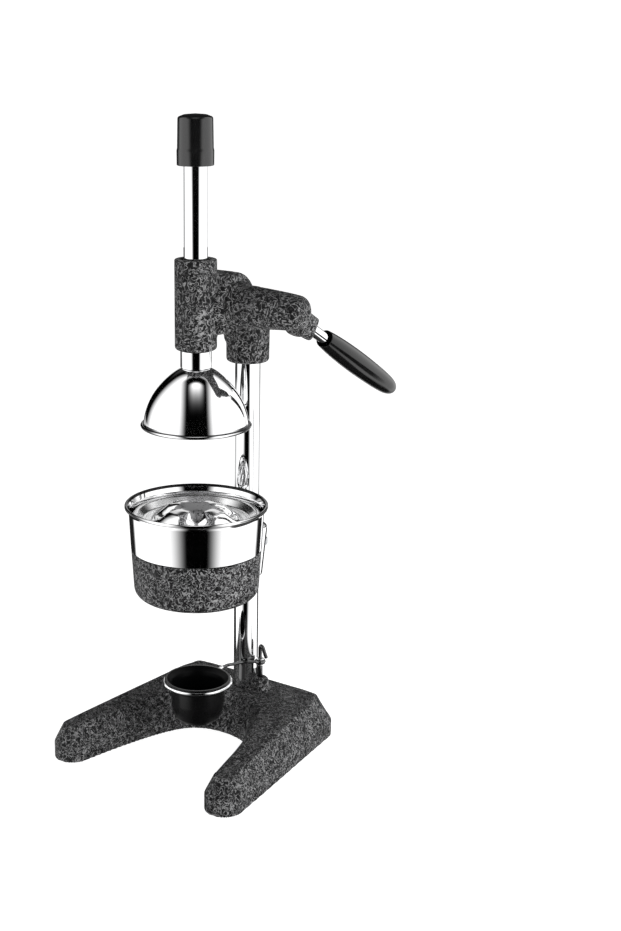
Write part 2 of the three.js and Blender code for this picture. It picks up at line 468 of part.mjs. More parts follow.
// ---------------------------------------------------------------- lever: pinion, shaft, hub, rod, grip
{
  const baseR = PITCH_R * Math.cos(PRESSURE);
  const rootR = PITCH_R - 3.05;
  const tipR = PITCH_R + 2.35;
  const inv = (a) => Math.tan(a) - a;
  const thickness = (Math.PI * MODULE) / 2 - 0.28;
  const halfAngle = (r) => thickness / (2 * PITCH_R) + inv(PRESSURE) - inv(Math.acos(Math.min(1, baseR / r)));
  const radii = [baseR, PITCH_R - 0.3, PITCH_R + 1.1, tipR];
  const gear = new THREE.Shape();
  for (let k = 0; k < TEETH; k++) {
    const middle = Math.PI + (k / TEETH) * 2 * Math.PI; // one tooth points at the ram
    const flank = [[rootR, halfAngle(baseR) + 0.012], ...radii.map((r) => [r, halfAngle(r)])];
    const points = [...flank.map(([r, h]) => [r, middle - h]), ...flank.reverse().map(([r, h]) => [r, middle + h])];
    points.forEach(([r, a], i) => gear[k || i ? "lineTo" : "moveTo"](r * Math.cos(a), r * Math.sin(a)));
  }
  gear.closePath();
  const blank = solid(new THREE.ExtrudeGeometry(gear, { depth: 20, bevelEnabled: false }).translate(0, 0, -12).applyMatrix4(SHEET_X));
  const boss = rodAlong(14, -17.4, 12.6, { seg: 24, axis: "x" });
  const keyway = block(-20, 20, -2.8, 2.8, 0, 10.8);
  const pinion = blank.add(boss).subtract(rodAlong(SHAFT_R + GAP, -30, 30, { seg: 24, axis: "x" })).subtract(keyway);
  lever.add(mesh("pinion_gear", pinion, M.steel));
  const shaft = turned([[0, -31.4], [7.4, -31.4], [SHAFT_R, -30.8], [SHAFT_R, 91.6], [0, 91.6]], { seg: 24, axis: "x" }).subtract(block(-9.4, 9.4, -2.8, 2.8, 5, 10));
  lever.add(mesh("pinion_shaft", shaft, M.steel));
  lever.add(mesh("shaft_key", block(-9, 9, -2.5, 2.5, 5.3, 10.5), M.steel));

  const cone = turned([
    [0, HUB_X[0]], [24.2, HUB_X[0]], [24.8, HUB_X[0] + 0.7], [22.6, 33], [21.2, 39], [20.5, 53], [17.3, 97],
    [15.6, 102], [12.2, 105.4], [7.6, 106.9], [0, HUB_X[1]],
  ], { seg: 32, axis: "x" });
  const tilt = new THREE.Matrix4().makeTranslation(ROD_X, 0, 0).multiply(new THREE.Matrix4().makeRotationX(THREE.MathUtils.degToRad(-LEVER_DOWN)));
  // the boss is mitred at its end, square to a line between the shaft and the rod
  const cut = new THREE.Vector3(0.813, 0.479, -0.335).normalize();
  const down = THREE.MathUtils.degToRad(LEVER_DOWN);
  const at = new THREE.Vector3(ROD_X, MITRE * Math.cos(down), -MITRE * Math.sin(down));
  const rodBoss = moved(turned([[0, 0], [14, 0], [12.4, 30], [12.1, BOSS_END], [0, BOSS_END]], { seg: 28, axis: "y" }), tilt)
    .trimByPlane(cut.clone().negate().toArray(), -cut.dot(at))
    .trimByPlane([-0.162, 0.221, 0.962], 0.221 * at.y + 0.962 * at.z - 0.162 * at.x - 8.6); // and trimmed underneath
  const clampPad = moved(moved(turned([[0, 0], [9.4, 0], [8.8, 14.2], [7.4, 15.6], [0, 15.6]], { seg: 20 }), new THREE.Matrix4().makeRotationX(Math.PI).setPosition(0, 22, 0)), tilt);
  const rodBore = moved(rodAlong(ROD_R + GAP, 21, 70, { seg: 24, axis: "y" }), tilt);
  let hub = cone.add(rodBoss).add(clampPad).subtract(rodAlong(SHAFT_R + GAP, 20, 92, { seg: 24, axis: "x" })).subtract(rodBore);
  hub = hub.subtract(rodAlong(3.4, -30, -4, { seg: 12, at: [52, 0, 0] }));
  lever.add(mesh("lever_hub", hub, M.granite));
  const grub = turned([[1.7, -18.6], [3.1, -18.6], [3.1, -9.2], [2.2, -8.6], [0, -8.6], [0, -15.4], [1.7, -15.4], [1.7, -18.6]], { seg: 12, at: [52, 0, 0] });
  lever.add(mesh("hub_set_screw", grub, M.zinc));

  const rod = turned([[0, 21.4], [ROD_R, 21.4], [ROD_R, 171], [5, 172], [0, 172]], { seg: 24, axis: "y" });
  rodLine.add(mesh("lever_rod", rod, M.chrome));
  const [g0, g1] = GRIP;
  const grip = turned([
    [ROD_R + GAP, g0 + 12], [7.6, g0 + 12], [8.3, g0 + 0.4], [9.3, g0], [9.9, g0 + 4], [11.5, g0 + 38],
    [12.2, g0 + 74], [11.6, g0 + 116], [10.4, g1 - 18], [8.6, g1 - 8], [5, g1 - 1.8], [0, g1],
    [0, 172.4], [ROD_R + GAP, 172.4], [ROD_R + GAP, g0 + 12],
  ], { seg: 24, axis: "y" });
  rodLine.add(mesh("lever_grip", grip, M.black));
}

// ---------------------------------------------------------------- juice bowl and strainer
{
  const bowl = turned([
    // outside, from the outlet up to the rolled rim
    [8, 170.5], [9.4, 170.5], [9.6, 182], [11, 187.2], [55, 192.6], [61, 198.6], [63.3, 229.8],
    [67.2, 230.3], [69.2, 269.6], [71, 273.3], [73.4, 274.1], [73.4, 276.2], [71.6, 276.8],
    [67.7, 270], [66.1, 232.3], [62.1, 231.2], [59.7, 199.2], [54.6, 194.1], [10.4, 188.8], [8, 184], [8, 170.5],
  ], { seg: 32 });
  ramAxis.add(mesh("juice_bowl", bowl, M.stainless));
  // Stands on the bowl's inner ledge by its skirt. A low fluted reamer rises in the middle.
  const lobes = (v) => {
    const r = Math.hypot(v.x, v.y);
    const a = Math.atan2(v.y, v.x);
    const zone = ramp(r, 11, 22) * (1 - ramp(r, 35, 46));
    const wave = Math.cos(4 * (a + FLUTE_AT)); // four broad lobes with a flute between each two
    v.z -= 6 * zone * (0.5 + 0.5 * wave) ** 1.2;
    const k = 1 - 0.06 * zone * (0.5 + 0.5 * wave);
    v.x *= k;
    v.y *= k;
  };
  const top = [[65.6, 232.8], [65.6, 264.6], [63.4, 267.2], [59, 266.2], [53, 260], [46.6, 259.6], [40.6, 264.2], [32, 270.4], [21, 273.5], [0, 274.2]];
  const under = [[0, 272.9], [21, 272.2], [31.6, 269], [39.8, 263], [46.2, 258.3], [53.4, 258.7], [59.6, 265], [62.8, 265.9], [64.4, 264.2], [64.4, 232.8], [65.6, 232.8]];
  let strainer = turned([...top, ...under], { seg: 36, deform: lobes });
  const holes = [];
  for (let k = 0; k < 9; k++) {
    const a = ((k + 0.5) / 9) * 360;
    holes.push(moved(block(47, 52.6, -1.4, 1.4, 254, 264), about(0, 0, 0, [0, 0, 1], a)));
  }
  strainer = strainer.subtract(wasm.Manifold.union(holes));
  ramAxis.add(mesh("reamer_strainer", strainer, M.stainless));
}

// ---------------------------------------------------------------- drip cup on its swing arm
{
  const post = turned([[0, 48], [2, 48], [2, 62.2], [2.9, 62.4], [2.9, 73.6], [2.5, 74], [2, 74], [2, 94], [0, 94]], { seg: 12 });
  const hook = wire([[0, 0, 91], [0, 0, 94.5], [1.2, -0.1, 96.6], [3.6, -0.4, 95.6], [8.6, -1, 85]], 2, 10, 10);
  pivot.add(mesh("drip_pivot_pin", post.add(hook), M.chrome));
  pivot.add(mesh("drip_arm_bush", turned([[2.3, 74.3], [4.3, 74.3], [4.3, 75.5], [3.4, 75.5], [3.4, 80.8], [4.3, 80.8], [4.3, 81.8], [2.3, 81.8], [2.3, 74.3]], { seg: 14 }), M.chrome));
  // arm and ring, in the pivot's frame
  const ring = new THREE.TorusGeometry(RING_R, WIRE_R, 6, 28);
  const [cx, cy] = [RING_AT[0] - PIN[0], RING_AT[1] - PIN[1]];
  ring.translate(cx, cy, RING_Z);
  const eye = turned([[3.7, 75.9], [5.4, 75.9], [6.3, 78.1], [5.4, 80.3], [3.7, 80.3], [3.7, 75.9]], { seg: 16 });
  const arm = wire([
    [cx, cy + RING_R, RING_Z], [cx, cy + RING_R + 6, 82], [cx - 0.6, cy + RING_R + 16, 80.8], [cx - 2, cy + RING_R + 23, 79.2],
    [cx + 0.4, cy + RING_R + 31.4, 78.2], [-15.2, -15.2, 78.1], [-9.6, -9.6, 78.1], [-3.9, -3.9, 78.1],
  ], WIRE_R, 20, 6, false, 0.5);
  pivot.add(mesh("drip_arm", solid(ring).add(arm).add(eye), M.chrome));
  const cup = turned([
    [0, 37.2], [13, 37.2], [19.4, 39.2], [24, 43.8], [26.8, 51], [27.8, 60], [28.2, 76], [31, 81.4], [32.8, 84.1], [35, 84.1],
    [35, 85.4], [32.2, 85.4], [27.9, 81], [26.4, 76.2], [26, 60.2], [25, 51.6], [22.4, 45], [18.4, 41], [12.6, 39.2], [0, 39.2],
  ], { seg: 28, at: [cx, cy, 0] });
  pivot.add(mesh("drip_cup", cup, M.satin));
}

export default press;
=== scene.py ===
import math

import bmesh
import bpy
import numpy as np
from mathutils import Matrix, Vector

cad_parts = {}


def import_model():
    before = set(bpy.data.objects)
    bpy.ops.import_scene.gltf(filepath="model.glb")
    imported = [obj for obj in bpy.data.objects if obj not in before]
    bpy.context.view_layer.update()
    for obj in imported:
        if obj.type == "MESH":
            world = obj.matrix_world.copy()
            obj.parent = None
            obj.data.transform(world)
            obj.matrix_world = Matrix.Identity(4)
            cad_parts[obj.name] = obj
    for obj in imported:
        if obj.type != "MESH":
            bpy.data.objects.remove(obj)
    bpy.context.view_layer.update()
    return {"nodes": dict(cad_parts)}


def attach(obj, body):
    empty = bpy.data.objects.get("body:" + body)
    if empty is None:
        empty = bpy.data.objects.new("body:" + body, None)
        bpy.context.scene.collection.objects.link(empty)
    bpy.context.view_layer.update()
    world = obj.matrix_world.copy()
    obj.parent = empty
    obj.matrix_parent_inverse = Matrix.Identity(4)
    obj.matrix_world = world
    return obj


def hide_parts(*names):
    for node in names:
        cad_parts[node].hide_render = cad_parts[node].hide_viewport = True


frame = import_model()

# Pieces are drawn in millimetres about the column axis, as the solids are, and then moved to the
# row frame: metres, with the column axis 20 mm behind the origin.
COLUMN_Y = 20.0
REACH = 90.0
AXIS_Y, AXIS_Z = -56.0, 479.0  # lever shaft
ROD_X, LEVER_DOWN = 86.2, math.radians(29)
PIN = (20.5, -2.0)
GAP = 0.3

# ------------------------------------------------------------------ mesh helpers


def piece(name, verts, faces, material, body, nodes=(), sharp=35.0, flip_check=True):
    """A mesh object from millimetre points about the column axis."""
    v = np.asarray(verts, float).copy()
    v[:, 1] += COLUMN_Y
    v *= 0.001
    me = bpy.data.meshes.new(name)
    me.from_pydata(v.tolist(), [], [list(map(int, f)) for f in faces])
    me.validate()
    if flip_check:
        bm = bmesh.new()
        bm.from_mesh(me)
        bmesh.ops.remove_doubles(bm, verts=bm.verts, dist=1e-7)
        bmesh.ops.recalc_face_normals(bm, faces=bm.faces)
        if bm.calc_volume(signed=True) < 0:
            bmesh.ops.reverse_faces(bm, faces=bm.faces)
        bm.to_mesh(me)
        bm.free()
    me.update()
    me.shade_smooth()
    if sharp is not None:
        me.set_sharp_from_angle(angle=math.radians(sharp))
    ob = bpy.data.objects.new(name, me)
    bpy.context.scene.collection.objects.link(ob)
    me.materials.append(material)
    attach(ob, body)
    if nodes:
        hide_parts(*nodes)
    return ob


def fillet(points, steps=5, closed=True):
    """Rounds the corners of a profile: each point is (r, h) or (r, h, radius)."""
    pts = [np.array(p[:2], float) for p in points]
    rad = [p[2] if len(p) > 2 else 0.0 for p in points]
    n = len(pts)
    out = []
    for i in range(n):
        p, r = pts[i], rad[i]
        if r <= 0 or (not closed and i in (0, n - 1)):
            out.append(p)
            continue
        a, b = pts[i - 1] - p, pts[(i + 1) % n] - p
        la, lb = np.linalg.norm(a), np.linalg.norm(b)
        a, b = a / la, b / lb
        half = math.acos(max(-1.0, min(1.0, float(a @ b)))) / 2
        if half < 1e-3 or half > math.pi / 2 - 1e-3:
            out.append(p)
            continue
        d = min(r / math.tan(half), 0.49 * la, 0.49 * lb)
        r = d * math.tan(half)
        centre = p + (a + b) / np.linalg.norm(a + b) * (r / math.sin(half))
        s, e = p + a * d - centre, p + b * d - centre
        sweep = math.acos(max(-1.0, min(1.0, float(s @ e) / (r * r))))
        k = max(2, int(math.ceil(steps * sweep / (math.pi / 2))) + 1)
        for t in np.linspace(0, 1, k + 1):
            w0, w1 = math.sin((1 - t) * sweep), math.sin(t * sweep)
            out.append(centre + (s * w0 + e * w1) / math.sin(sweep))
    return [tuple(p) for p in out]


def revolve(profile, seg=96, axis="z", at=(0, 0, 0), deform=None, closed=True):
    """Turned body from a closed profile of (radius, height)."""
    prof = [tuple(p[:2]) for p in profile]
    verts, rings = [], []
    for r, h in prof:
        if r < 1e-6:
            rings.append([len(verts)] * seg)
            verts.append((0.0, 0.0, h))
        else:
            start = len(verts)
            for k in range(seg):
                a = 2 * math.pi * k / seg
                verts.append((r * math.cos(a), r * math.sin(a), h))
            rings.append(list(range(start, start + seg)))
    faces = []
    n = len(prof)
    for i in range(n if closed else n - 1):
        a, b = rings[i], rings[(i + 1) % n]
        if a[0] == a[1] and b[0] == b[1]:
            continue
        for k in range(seg):
            m = (k + 1) % seg
            f = []
            for x in (a[k], a[m], b[m], b[k]):
                if x not in f:
                    f.append(x)
            if len(f) > 2:
                faces.append(f)
    v = np.array(verts, float)
    if deform is not None:
        v = deform(v)
    if axis == "x":
        v = np.stack([v[:, 2], v[:, 0], v[:, 1]], 1)
    elif axis == "y":
        v = np.stack([v[:, 1], v[:, 2], v[:, 0]], 1)
    return v + np.array(at, float), faces


def to_rod(v):
    """From a frame whose +Y runs along the lever rod to the column frame."""
    c, s = math.cos(-LEVER_DOWN), math.sin(-LEVER_DOWN)
    x, y, z = v[:, 0] + ROD_X, v[:, 1], v[:, 2]
    return np.stack([x, AXIS_Y + c * y - s * z, AXIS_Z + s * y + c * z], 1)


def spline(points, n, closed=False):
    """Centripetal Catmull-Rom curve through the points, n samples per span."""
    p = [np.array(q, float) for q in points]
    m = len(p)
    if not closed:
        p = [2 * p[0] - p[1]] + p + [2 * p[-1] - p[-2]]
        spans = range(1, m)
    else:
        p = [p[-1]] + p + [p[0], p[1]]
        spans = range(1, m + 1)
    out = []
    for i in spans:
        p0, p1, p2, p3 = p[i - 1], p[i], p[i + 1], p[i + 2]
        t0 = 0.0
        t1 = t0 + max(np.linalg.norm(p1 - p0), 1e-6) ** 0.5
        t2 = t1 + max(np.linalg.norm(p2 - p1), 1e-6) ** 0.5
        t3 = t2 + max(np.linalg.norm(p3 - p2), 1e-6) ** 0.5
        for k in range(n):
            t = t1 + (t2 - t1) * k / n
            a1 = (t1 - t) / (t1 - t0) * p0 + (t - t0) / (t1 - t0) * p1
            a2 = (t2 - t) / (t2 - t1) * p1 + (t - t1) / (t2 - t1) * p2
            a3 = (t3 - t) / (t3 - t2) * p2 + (t - t2) / (t3 - t2) * p3
            b1 = (t2 - t) / (t2 - t0) * a1 + (t - t0) / (t2 - t0) * a2
            b2 = (t3 - t) / (t3 - t1) * a2 + (t - t1) / (t3 - t1) * a3
            out.append((t2 - t) / (t2 - t1) * b1 + (t - t1) / (t2 - t1) * b2)
    if not closed:
        out.append(p[-2])
    return np.array(out)


def sweep(path, radius, sides=16, closed=False, round_ends=True):
    """Round wire along a path of points; radius may be one number or one per point."""
    path = np.asarray(path, float)
    n = len(path)
    rad = np.full(n, float(radius)) if np.isscalar(radius) else np.asarray(radius, float)
    if round_ends and not closed:
        t0 = path[0] - path[1]
        t0 /= np.linalg.norm(t0)
        t1 = path[-1] - path[-2]
        t1 /= np.linalg.norm(t1)
        caps = [(0.97, 0.28), (0.78, 0.64), (0.5, 0.87), (0.2, 0.98)]
        head = [(path[0] + t0 * rad[0] * 0.6 * h, rad[0] * w) for w, h in caps][::-1]
        tail = [(path[-1] + t1 * rad[-1] * 0.6 * h, rad[-1] * w) for w, h in caps]
        path = np.array([p for p, _ in head] + list(path) + [p for p, _ in tail])
        rad = np.array([r for _, r in head] + list(rad) + [r for _, r in tail])
        n = len(path)
    tan = np.zeros_like(path)
    for i in range(n):
        a = path[(i - 1) % n] if closed or i else path[0]
        b = path[(i + 1) % n] if closed or i < n - 1 else path[-1]
        tan[i] = (b - a) / max(np.linalg.norm(b - a), 1e-9)
    up = np.array([0.0, 0.0, 1.0])
    if abs(tan[0] @ up) > 0.9:
        up = np.array([1.0, 0.0, 0.0])
    nrm = np.cross(np.cross(tan[0], up), tan[0])
    nrm /= np.linalg.norm(nrm)
    verts = []
    for i in range(n):
        nrm = nrm - tan[i] * (nrm @ tan[i])
        nrm /= np.linalg.norm(nrm)
        bi = np.cross(tan[i], nrm)
        for k in range(sides):
            a = 2 * math.pi * k / sides
            verts.append(path[i] + rad[i] * (math.cos(a) * nrm + math.sin(a) * bi))
    faces = []
    for i in range(n if closed else n - 1):
        j = (i + 1) % n
        for k in range(sides):
            m = (k + 1) % sides
            faces.append([i * sides + k, i * sides + m, j * sides + m, j * sides + k])
    if not closed:
        faces.append([k for k in range(sides)][::-1])
        faces.append([(n - 1) * sides + k for k in range(sides)])
    return np.array(verts), faces


def join(*parts):
    verts, faces, base = [], [], 0
    for v, f in parts:
        verts.append(np.asarray(v, float))
        faces += [[i + base for i in q] for q in f]
        base += len(v)
    return np.concatenate(verts), faces


# ------------------------------------------------------------------ rounded solids from distance fields


def smin(a, b, k):
    h = np.maximum(k - np.abs(a - b), 0) / k
    return np.minimum(a, b) - h * h * k * 0.25


def smax(a, b, k):
    return -smin(-a, -b, k)


def drum_field(rad, ax, R, a, b, ra=1.0, rb=1.0):
    """Cylinder (R may be an array) from a to b along ax, its two rims rounded by ra and rb."""
    c, H = (a + b) / 2, (b - a) / 2
    rho = np.where(ax > c, rb, ra)
    qx = rad - R + rho
    qy = np.abs(ax - c) - H + rho
    return np.minimum(np.maximum(qx, qy), 0) + np.hypot(np.maximum(qx, 0), np.maximum(qy, 0)) - rho


def polygon_field(x, y, poly):
    """Signed distance to a polygon, negative inside."""
    shape = x.shape
    x, y = x.ravel(), y.ravel()
    poly = np.asarray(poly, float)
    best = np.full(len(x), 1e12)
    inside = np.zeros(len(x), bool)
    for i in range(len(poly)):
        a, b = poly[i - 1], poly[i]
        ex, ey = b - a
        wx, wy = x - a[0], y - a[1]
        t = np.clip((wx * ex + wy * ey) / max(ex * ex + ey * ey, 1e-12), 0, 1)
        dx, dy = wx - ex * t, wy - ey * t
        best = np.minimum(best, dx * dx + dy * dy)
        if abs(ey) > 1e-12:
            crosses = (a[1] > y) != (b[1] > y)
            inside ^= crosses & (x < ex * (y - a[1]) / ey + a[0])
    d = np.sqrt(best)
    return np.where(inside, -d, d).reshape(shape)


def contour(field, lo, hi, h, polish=2):
    """Quads on the zero surface of a field, with the points pulled onto it."""
    lo, hi = np.array(lo, float), np.array(hi, float)
    n = np.ceil((hi - lo) / h).astype(int) + 1
    grid = np.meshgrid(*[lo[i] + h * np.arange(n[i]) for i in range(3)], indexing="ij")
    F = field(*grid)
    S = F < 0
    dims = n - 1
    cells = int(dims.prod())
    acc, cnt, quads = np.zeros((cells, 3)), np.zeros(cells), []
    for a in range(3):
        s0 = [slice(None)] * 3
        s1 = [slice(None)] * 3
        s0[a], s1[a] = slice(0, -1), slice(1, None)
        A, B = F[tuple(s0)], F[tuple(s1)]
        SA = S[tuple(s0)]
        I = np.argwhere(SA != S[tuple(s1)])
        fa = A[I[:, 0], I[:, 1], I[:, 2]]
        fb = B[I[:, 0], I[:, 1], I[:, 2]]
        out = SA[I[:, 0], I[:, 1], I[:, 2]]
        P = lo + h * I
        P[:, a] += h * fa / (fa - fb)
        b, c = (a + 1) % 3, (a + 2) % 3
        ids = []
        for db, dc in ((0, 0), (-1, 0), (-1, -1), (0, -1)):
            J = I.copy()
            J[:, b] += db
            J[:, c] += dc
            key = (J[:, 0] * dims[1] + J[:, 1]) * dims[2] + J[:, 2]
            ids.append(key)
            for q in range(3):
                acc[:, q] += np.bincount(key, P[:, q], cells)
            cnt += np.bincount(key, minlength=cells)
        quad = np.stack(ids, 1)
        quad[~out] = quad[~out][:, ::-1]
        quads.append(quad)
    used = cnt > 0
    remap = np.cumsum(used) - 1
    V = acc[used] / cnt[used, None]
    Q = remap[np.concatenate(quads)]
    e = 0.04
    for _ in range(polish):
        f = field(V[:, 0], V[:, 1], V[:, 2])
        g = np.stack(
            [
                (field(V[:, 0] + e * (q == 0), V[:, 1] + e * (q == 1), V[:, 2] + e * (q == 2))
                 - field(V[:, 0] - e * (q == 0), V[:, 1] - e * (q == 1), V[:, 2] - e * (q == 2))) / (2 * e)
                for q in range(3)
            ],
            1,
        )
        step = np.clip(f / np.maximum((g * g).sum(1), 0.25), -0.5 * h, 0.5 * h)
        V = V - g * step[:, None]
    return V, Q.tolist()


# ------------------------------------------------------------------ materials


def material(name):
    m = bpy.data.materials.new(name)
    m.use_nodes = True
    nt = m.node_tree
    return m, nt, nt.nodes["Principled BSDF"]


def node(nt, kind, **settings):
    n = nt.nodes.new(kind)
    for k, v in settings.items():
        setattr(n, k, v)
    return n


def noise(nt, scale, detail=2.0, rough=0.5, distortion=0.0, stretch=None):
    tc = node(nt, "ShaderNodeTexCoord")
    src = tc.outputs["Object"]
    if stretch is not None:
        mp = node(nt, "ShaderNodeMapping")
        mp.inputs["Scale"].default_value = stretch
        nt.links.new(src, mp.inputs["Vector"])
        src = mp.outputs["Vector"]
    n = node(nt, "ShaderNodeTexNoise")
    nt.links.new(src, n.inputs["Vector"])
    n.inputs["Scale"].default_value = scale
    n.inputs["Detail"].default_value = detail
    n.inputs["Roughness"].default_value = rough
    n.inputs["Distortion"].default_value = distortion
    return n


def remap(nt, value, a, b, c, d, smooth=False):
    n = node(nt, "ShaderNodeMapRange")
    if smooth:
        n.interpolation_type = "SMOOTHSTEP"
    nt.links.new(value, n.inputs["Value"])
    for key, x in zip(("From Min", "From Max", "To Min", "To Max"), (a, b, c, d)):
        n.inputs[key].default_value = x
    return n.outputs["Result"]


def maths(nt, op, a, b=None):
    n = node(nt, "ShaderNodeMath", operation=op)
    for i, x in enumerate((a, b)):
        if x is None:
            continue
        if isinstance(x, (int, float)):
            n.inputs[i].default_value = x
        else:
            nt.links.new(x, n.inputs[i])
    return n.outputs["Value"]


def mix(nt, fac, a, b):
    n = node(nt, "ShaderNodeMix", data_type="RGBA")
    if isinstance(fac, (int, float)):
        n.inputs["Factor"].default_value = fac
    else:
        nt.links.new(fac, n.inputs["Factor"])
    for key, x in (("A", a), ("B", b)):
        s = [i for i in n.inputs if i.name == key and i.type == "RGBA"][0]
        if isinstance(x, tuple):
            s.default_value = (*x, 1.0)
        else:
            nt.links.new(x, s)
    return [o for o in n.outputs if o.type == "RGBA"][0]


def bump(nt, bsdf, height, distance, strength=1.0, below=None):
    n = node(nt, "ShaderNodeBump")
    n.inputs["Strength"].default_value = strength
    n.inputs["Distance"].default_value = distance
    nt.links.new(height, n.inputs["Height"])
    if below is not None:
        nt.links.new(below, n.inputs["Normal"])
    nt.links.new(n.outputs["Normal"], bsdf.inputs["Normal"])
    return n.outputs["Normal"]


def worn_edges(nt, low=0.53, high=0.62):
    """Sharp outside edges, from the mesh's own curvature."""
    g = node(nt, "ShaderNodeNewGeometry")
    return remap(nt, g.outputs["Pointiness"], low, high, 0.0, 1.0, True)


def granite_coat(name, k, vein):
    """Black powder coat with silver-grey veins; k scales the pattern."""
    m, nt, b = material(name)
    warp = noise(nt, 300.0 * k, 1.0, 0.5)
    one = noise(nt, 215.0 * k, 1.2, 0.5, 0.8)
    two = noise(nt, 175.0 * k, 1.0, 0.5, 1.2)
    patch = noise(nt, 125.0 * k, 1.0, 0.5)
    large = noise(nt, 22.0, 2.0, 0.5)
    fine = noise(nt, 1300.0, 2.0, 0.6)

    def ridge(src, width):
        d = maths(nt, "ABSOLUTE", maths(nt, "SUBTRACT", src, 0.5))
        return remap(nt, d, width, width * 0.18, 0.0, 1.0, True)

    r1 = ridge(one.outputs["Fac"], 0.066)
    r2 = ridge(two.outputs["Fac"], 0.05)
    m1 = remap(nt, patch.outputs["Fac"], 0.4, 0.58, 0.08, 1.0, True)
    m2 = remap(nt, patch.outputs["Fac"], 0.58, 0.42, 0.05, 0.9, True)
    veins = maths(nt, "MAXIMUM", maths(nt, "MULTIPLY", r1, m1), maths(nt, "MULTIPLY", r2, m2))
    grain = remap(nt, fine.outputs["Fac"], 0.3, 0.7, 0.72, 1.2)
    veins = maths(nt, "MULTIPLY", veins, grain)
    drift = remap(nt, large.outputs["Fac"], 0.3, 0.7, 0.86, 1.1)
    veins = maths(nt, "MULTIPLY", veins, drift)
    dark = mix(nt, remap(nt, warp.outputs["Fac"], 0.35, 0.7, 0.0, 1.0), (0.003, 0.003, 0.0032), (0.012, 0.012, 0.0125))
    color = mix(nt, veins, dark, (vein, vein, vein * 1.01))
    nt.links.new(color, b.inputs["Base Color"])
    nt.links.new(remap(nt, veins, 0.0, 1.0, 0.62, 0.42), b.inputs["Roughness"])
    b.inputs["Metallic"].default_value = 0.0
    b.inputs["Specular IOR Level"].default_value = 0.12
    low = bump(nt, b, veins, 0.00016, 0.9)
    bump(nt, b, fine.outputs["Fac"], 0.00005, 0.6, low)
    return m


def plated(name, color, rough, swirl=0.0, rings=False, tint=0.985, painted_crease_shade=True):
    """Bright plate or polished sheet, with the faint haze and wipe marks of a handled surface, and painted shade
    darkening its concave creases.
    """
    m, nt, b = material(name)
    haze = noise(nt, 55.0, 3.0, 0.55)
    wipe = noise(nt, 900.0, 2.0, 0.6, 0.0, (1.0, 1.0, 0.05) if rings else (0.06, 1.0, 1.0))
    c = mix(nt, remap(nt, haze.outputs["Fac"], 0.35, 0.7, 0.0, 1.0), color, tuple(x * tint for x in color))
    if painted_crease_shade:
        # painted shade: where the mesh curves inwards (low pointiness) the colour runs to near black
        g = node(nt, "ShaderNodeNewGeometry")
        c = mix(nt, remap(nt, g.outputs["Pointiness"], 0.485, 0.44, 0.0, 1.0, True), c, (0.05, 0.05, 0.052))
    nt.links.new(c, b.inputs["Base Color"])
    r = maths(nt, "ADD", remap(nt, haze.outputs["Fac"], 0.3, 0.75, rough * 0.7, rough * 1.35), maths(nt, "MULTIPLY", wipe.outputs["Fac"], swirl))
    nt.links.new(r, b.inputs["Roughness"])
    b.inputs["Metallic"].default_value = 1.0
    bump(nt, b, wipe.outputs["Fac"], 0.000004, 0.25)
    return m


def reamer_sheet():
    """Polished sheet as above, rubbed dull on the flat top of the reamer, where its colour is also darkened as a
    painted dark reflection.
    """
    m = plated("reamer_sheet", (0.90, 0.90, 0.905), 0.085, 0.03, rings=True, painted_crease_shade=False)
    nt = m.node_tree
    b = nt.nodes["Principled BSDF"]
    tc = node(nt, "ShaderNodeTexCoord")
    off = node(nt, "ShaderNodeVectorMath", operation="SUBTRACT")
    nt.links.new(tc.outputs["Object"], off.inputs[0])
    off.inputs[1].default_value = (0.0, -0.07, 0.0)
    sep = node(nt, "ShaderNodeSeparateXYZ")
    nt.links.new(off.outputs["Vector"], sep.inputs[0])
    x, y, _ = sep.outputs
    rad = maths(nt, "SQRT", maths(nt, "ADD", maths(nt, "MULTIPLY", x, x), maths(nt, "MULTIPLY", y, y)))
    spots = noise(nt, 210.0, 1.0, 0.5)
    wob = maths(nt, "ADD", rad, remap(nt, spots.outputs["Fac"], 0.3, 0.7, -0.002, 0.002))
    flute = maths(nt, "COSINE", maths(nt, "MULTIPLY", maths(nt, "ADD", maths(nt, "ARCTAN2", y, x), math.radians(53.2)), 4.0))
    flute = remap(nt, flute, 0.1, 0.95, 0.0, 0.0095, True)
    # the flat top of the reamer: rougher there, and its colour darkened below as painted dark reflection
    dull_and_painted_dark = remap(nt, maths(nt, "SUBTRACT", wob, flute), 0.0205, 0.0165, 0.0, 1.0, True)
    pits = remap(nt, noise(nt, 330.0, 1.0, 0.5).outputs["Fac"], 0.62, 0.7, 0.0, 1.0, True)
    base = b.inputs["Base Color"].links[0].from_socket
    # painted dark reflection: grey for the flat top, with darker spots
    painted_dark_top = mix(nt, pits, (0.30, 0.30, 0.305), (0.06, 0.06, 0.062))
    nt.links.new(mix(nt, dull_and_painted_dark, base, painted_dark_top), b.inputs["Base Color"])
    rough = b.inputs["Roughness"].links[0].from_socket
    plate = remap(nt, rad, 0.043, 0.048, 0.0, 0.12, True)
    rough = maths(nt, "ADD", rough, maths(nt, "MAXIMUM", plate, maths(nt, "MULTIPLY", dull_and_painted_dark, 0.42)))
    nt.links.new(rough, b.inputs["Roughness"])
    return m


def rolled_rim(name):
    """Polished rolled edge, with painted dark reflection darkening its flanks towards the outline."""
    m = plated(name, (0.92, 0.92, 0.925), 0.05)
    nt = m.node_tree
    b = nt.nodes["Principled BSDF"]
    base = b.inputs["Base Color"].links[0].from_socket
    lw = node(nt, "ShaderNodeLayerWeight")
    lw.inputs["Blend"].default_value = 0.5
    # painted dark reflection: the colour goes near black where the surface turns away from view
    painted_dark_outline = remap(nt, lw.outputs["Facing"], 0.2, 0.46, 0.0, 1.0, True)
    nt.links.new(mix(nt, painted_dark_outline, base, (0.02, 0.02, 0.021)), b.inputs["Base Color"])
    return m


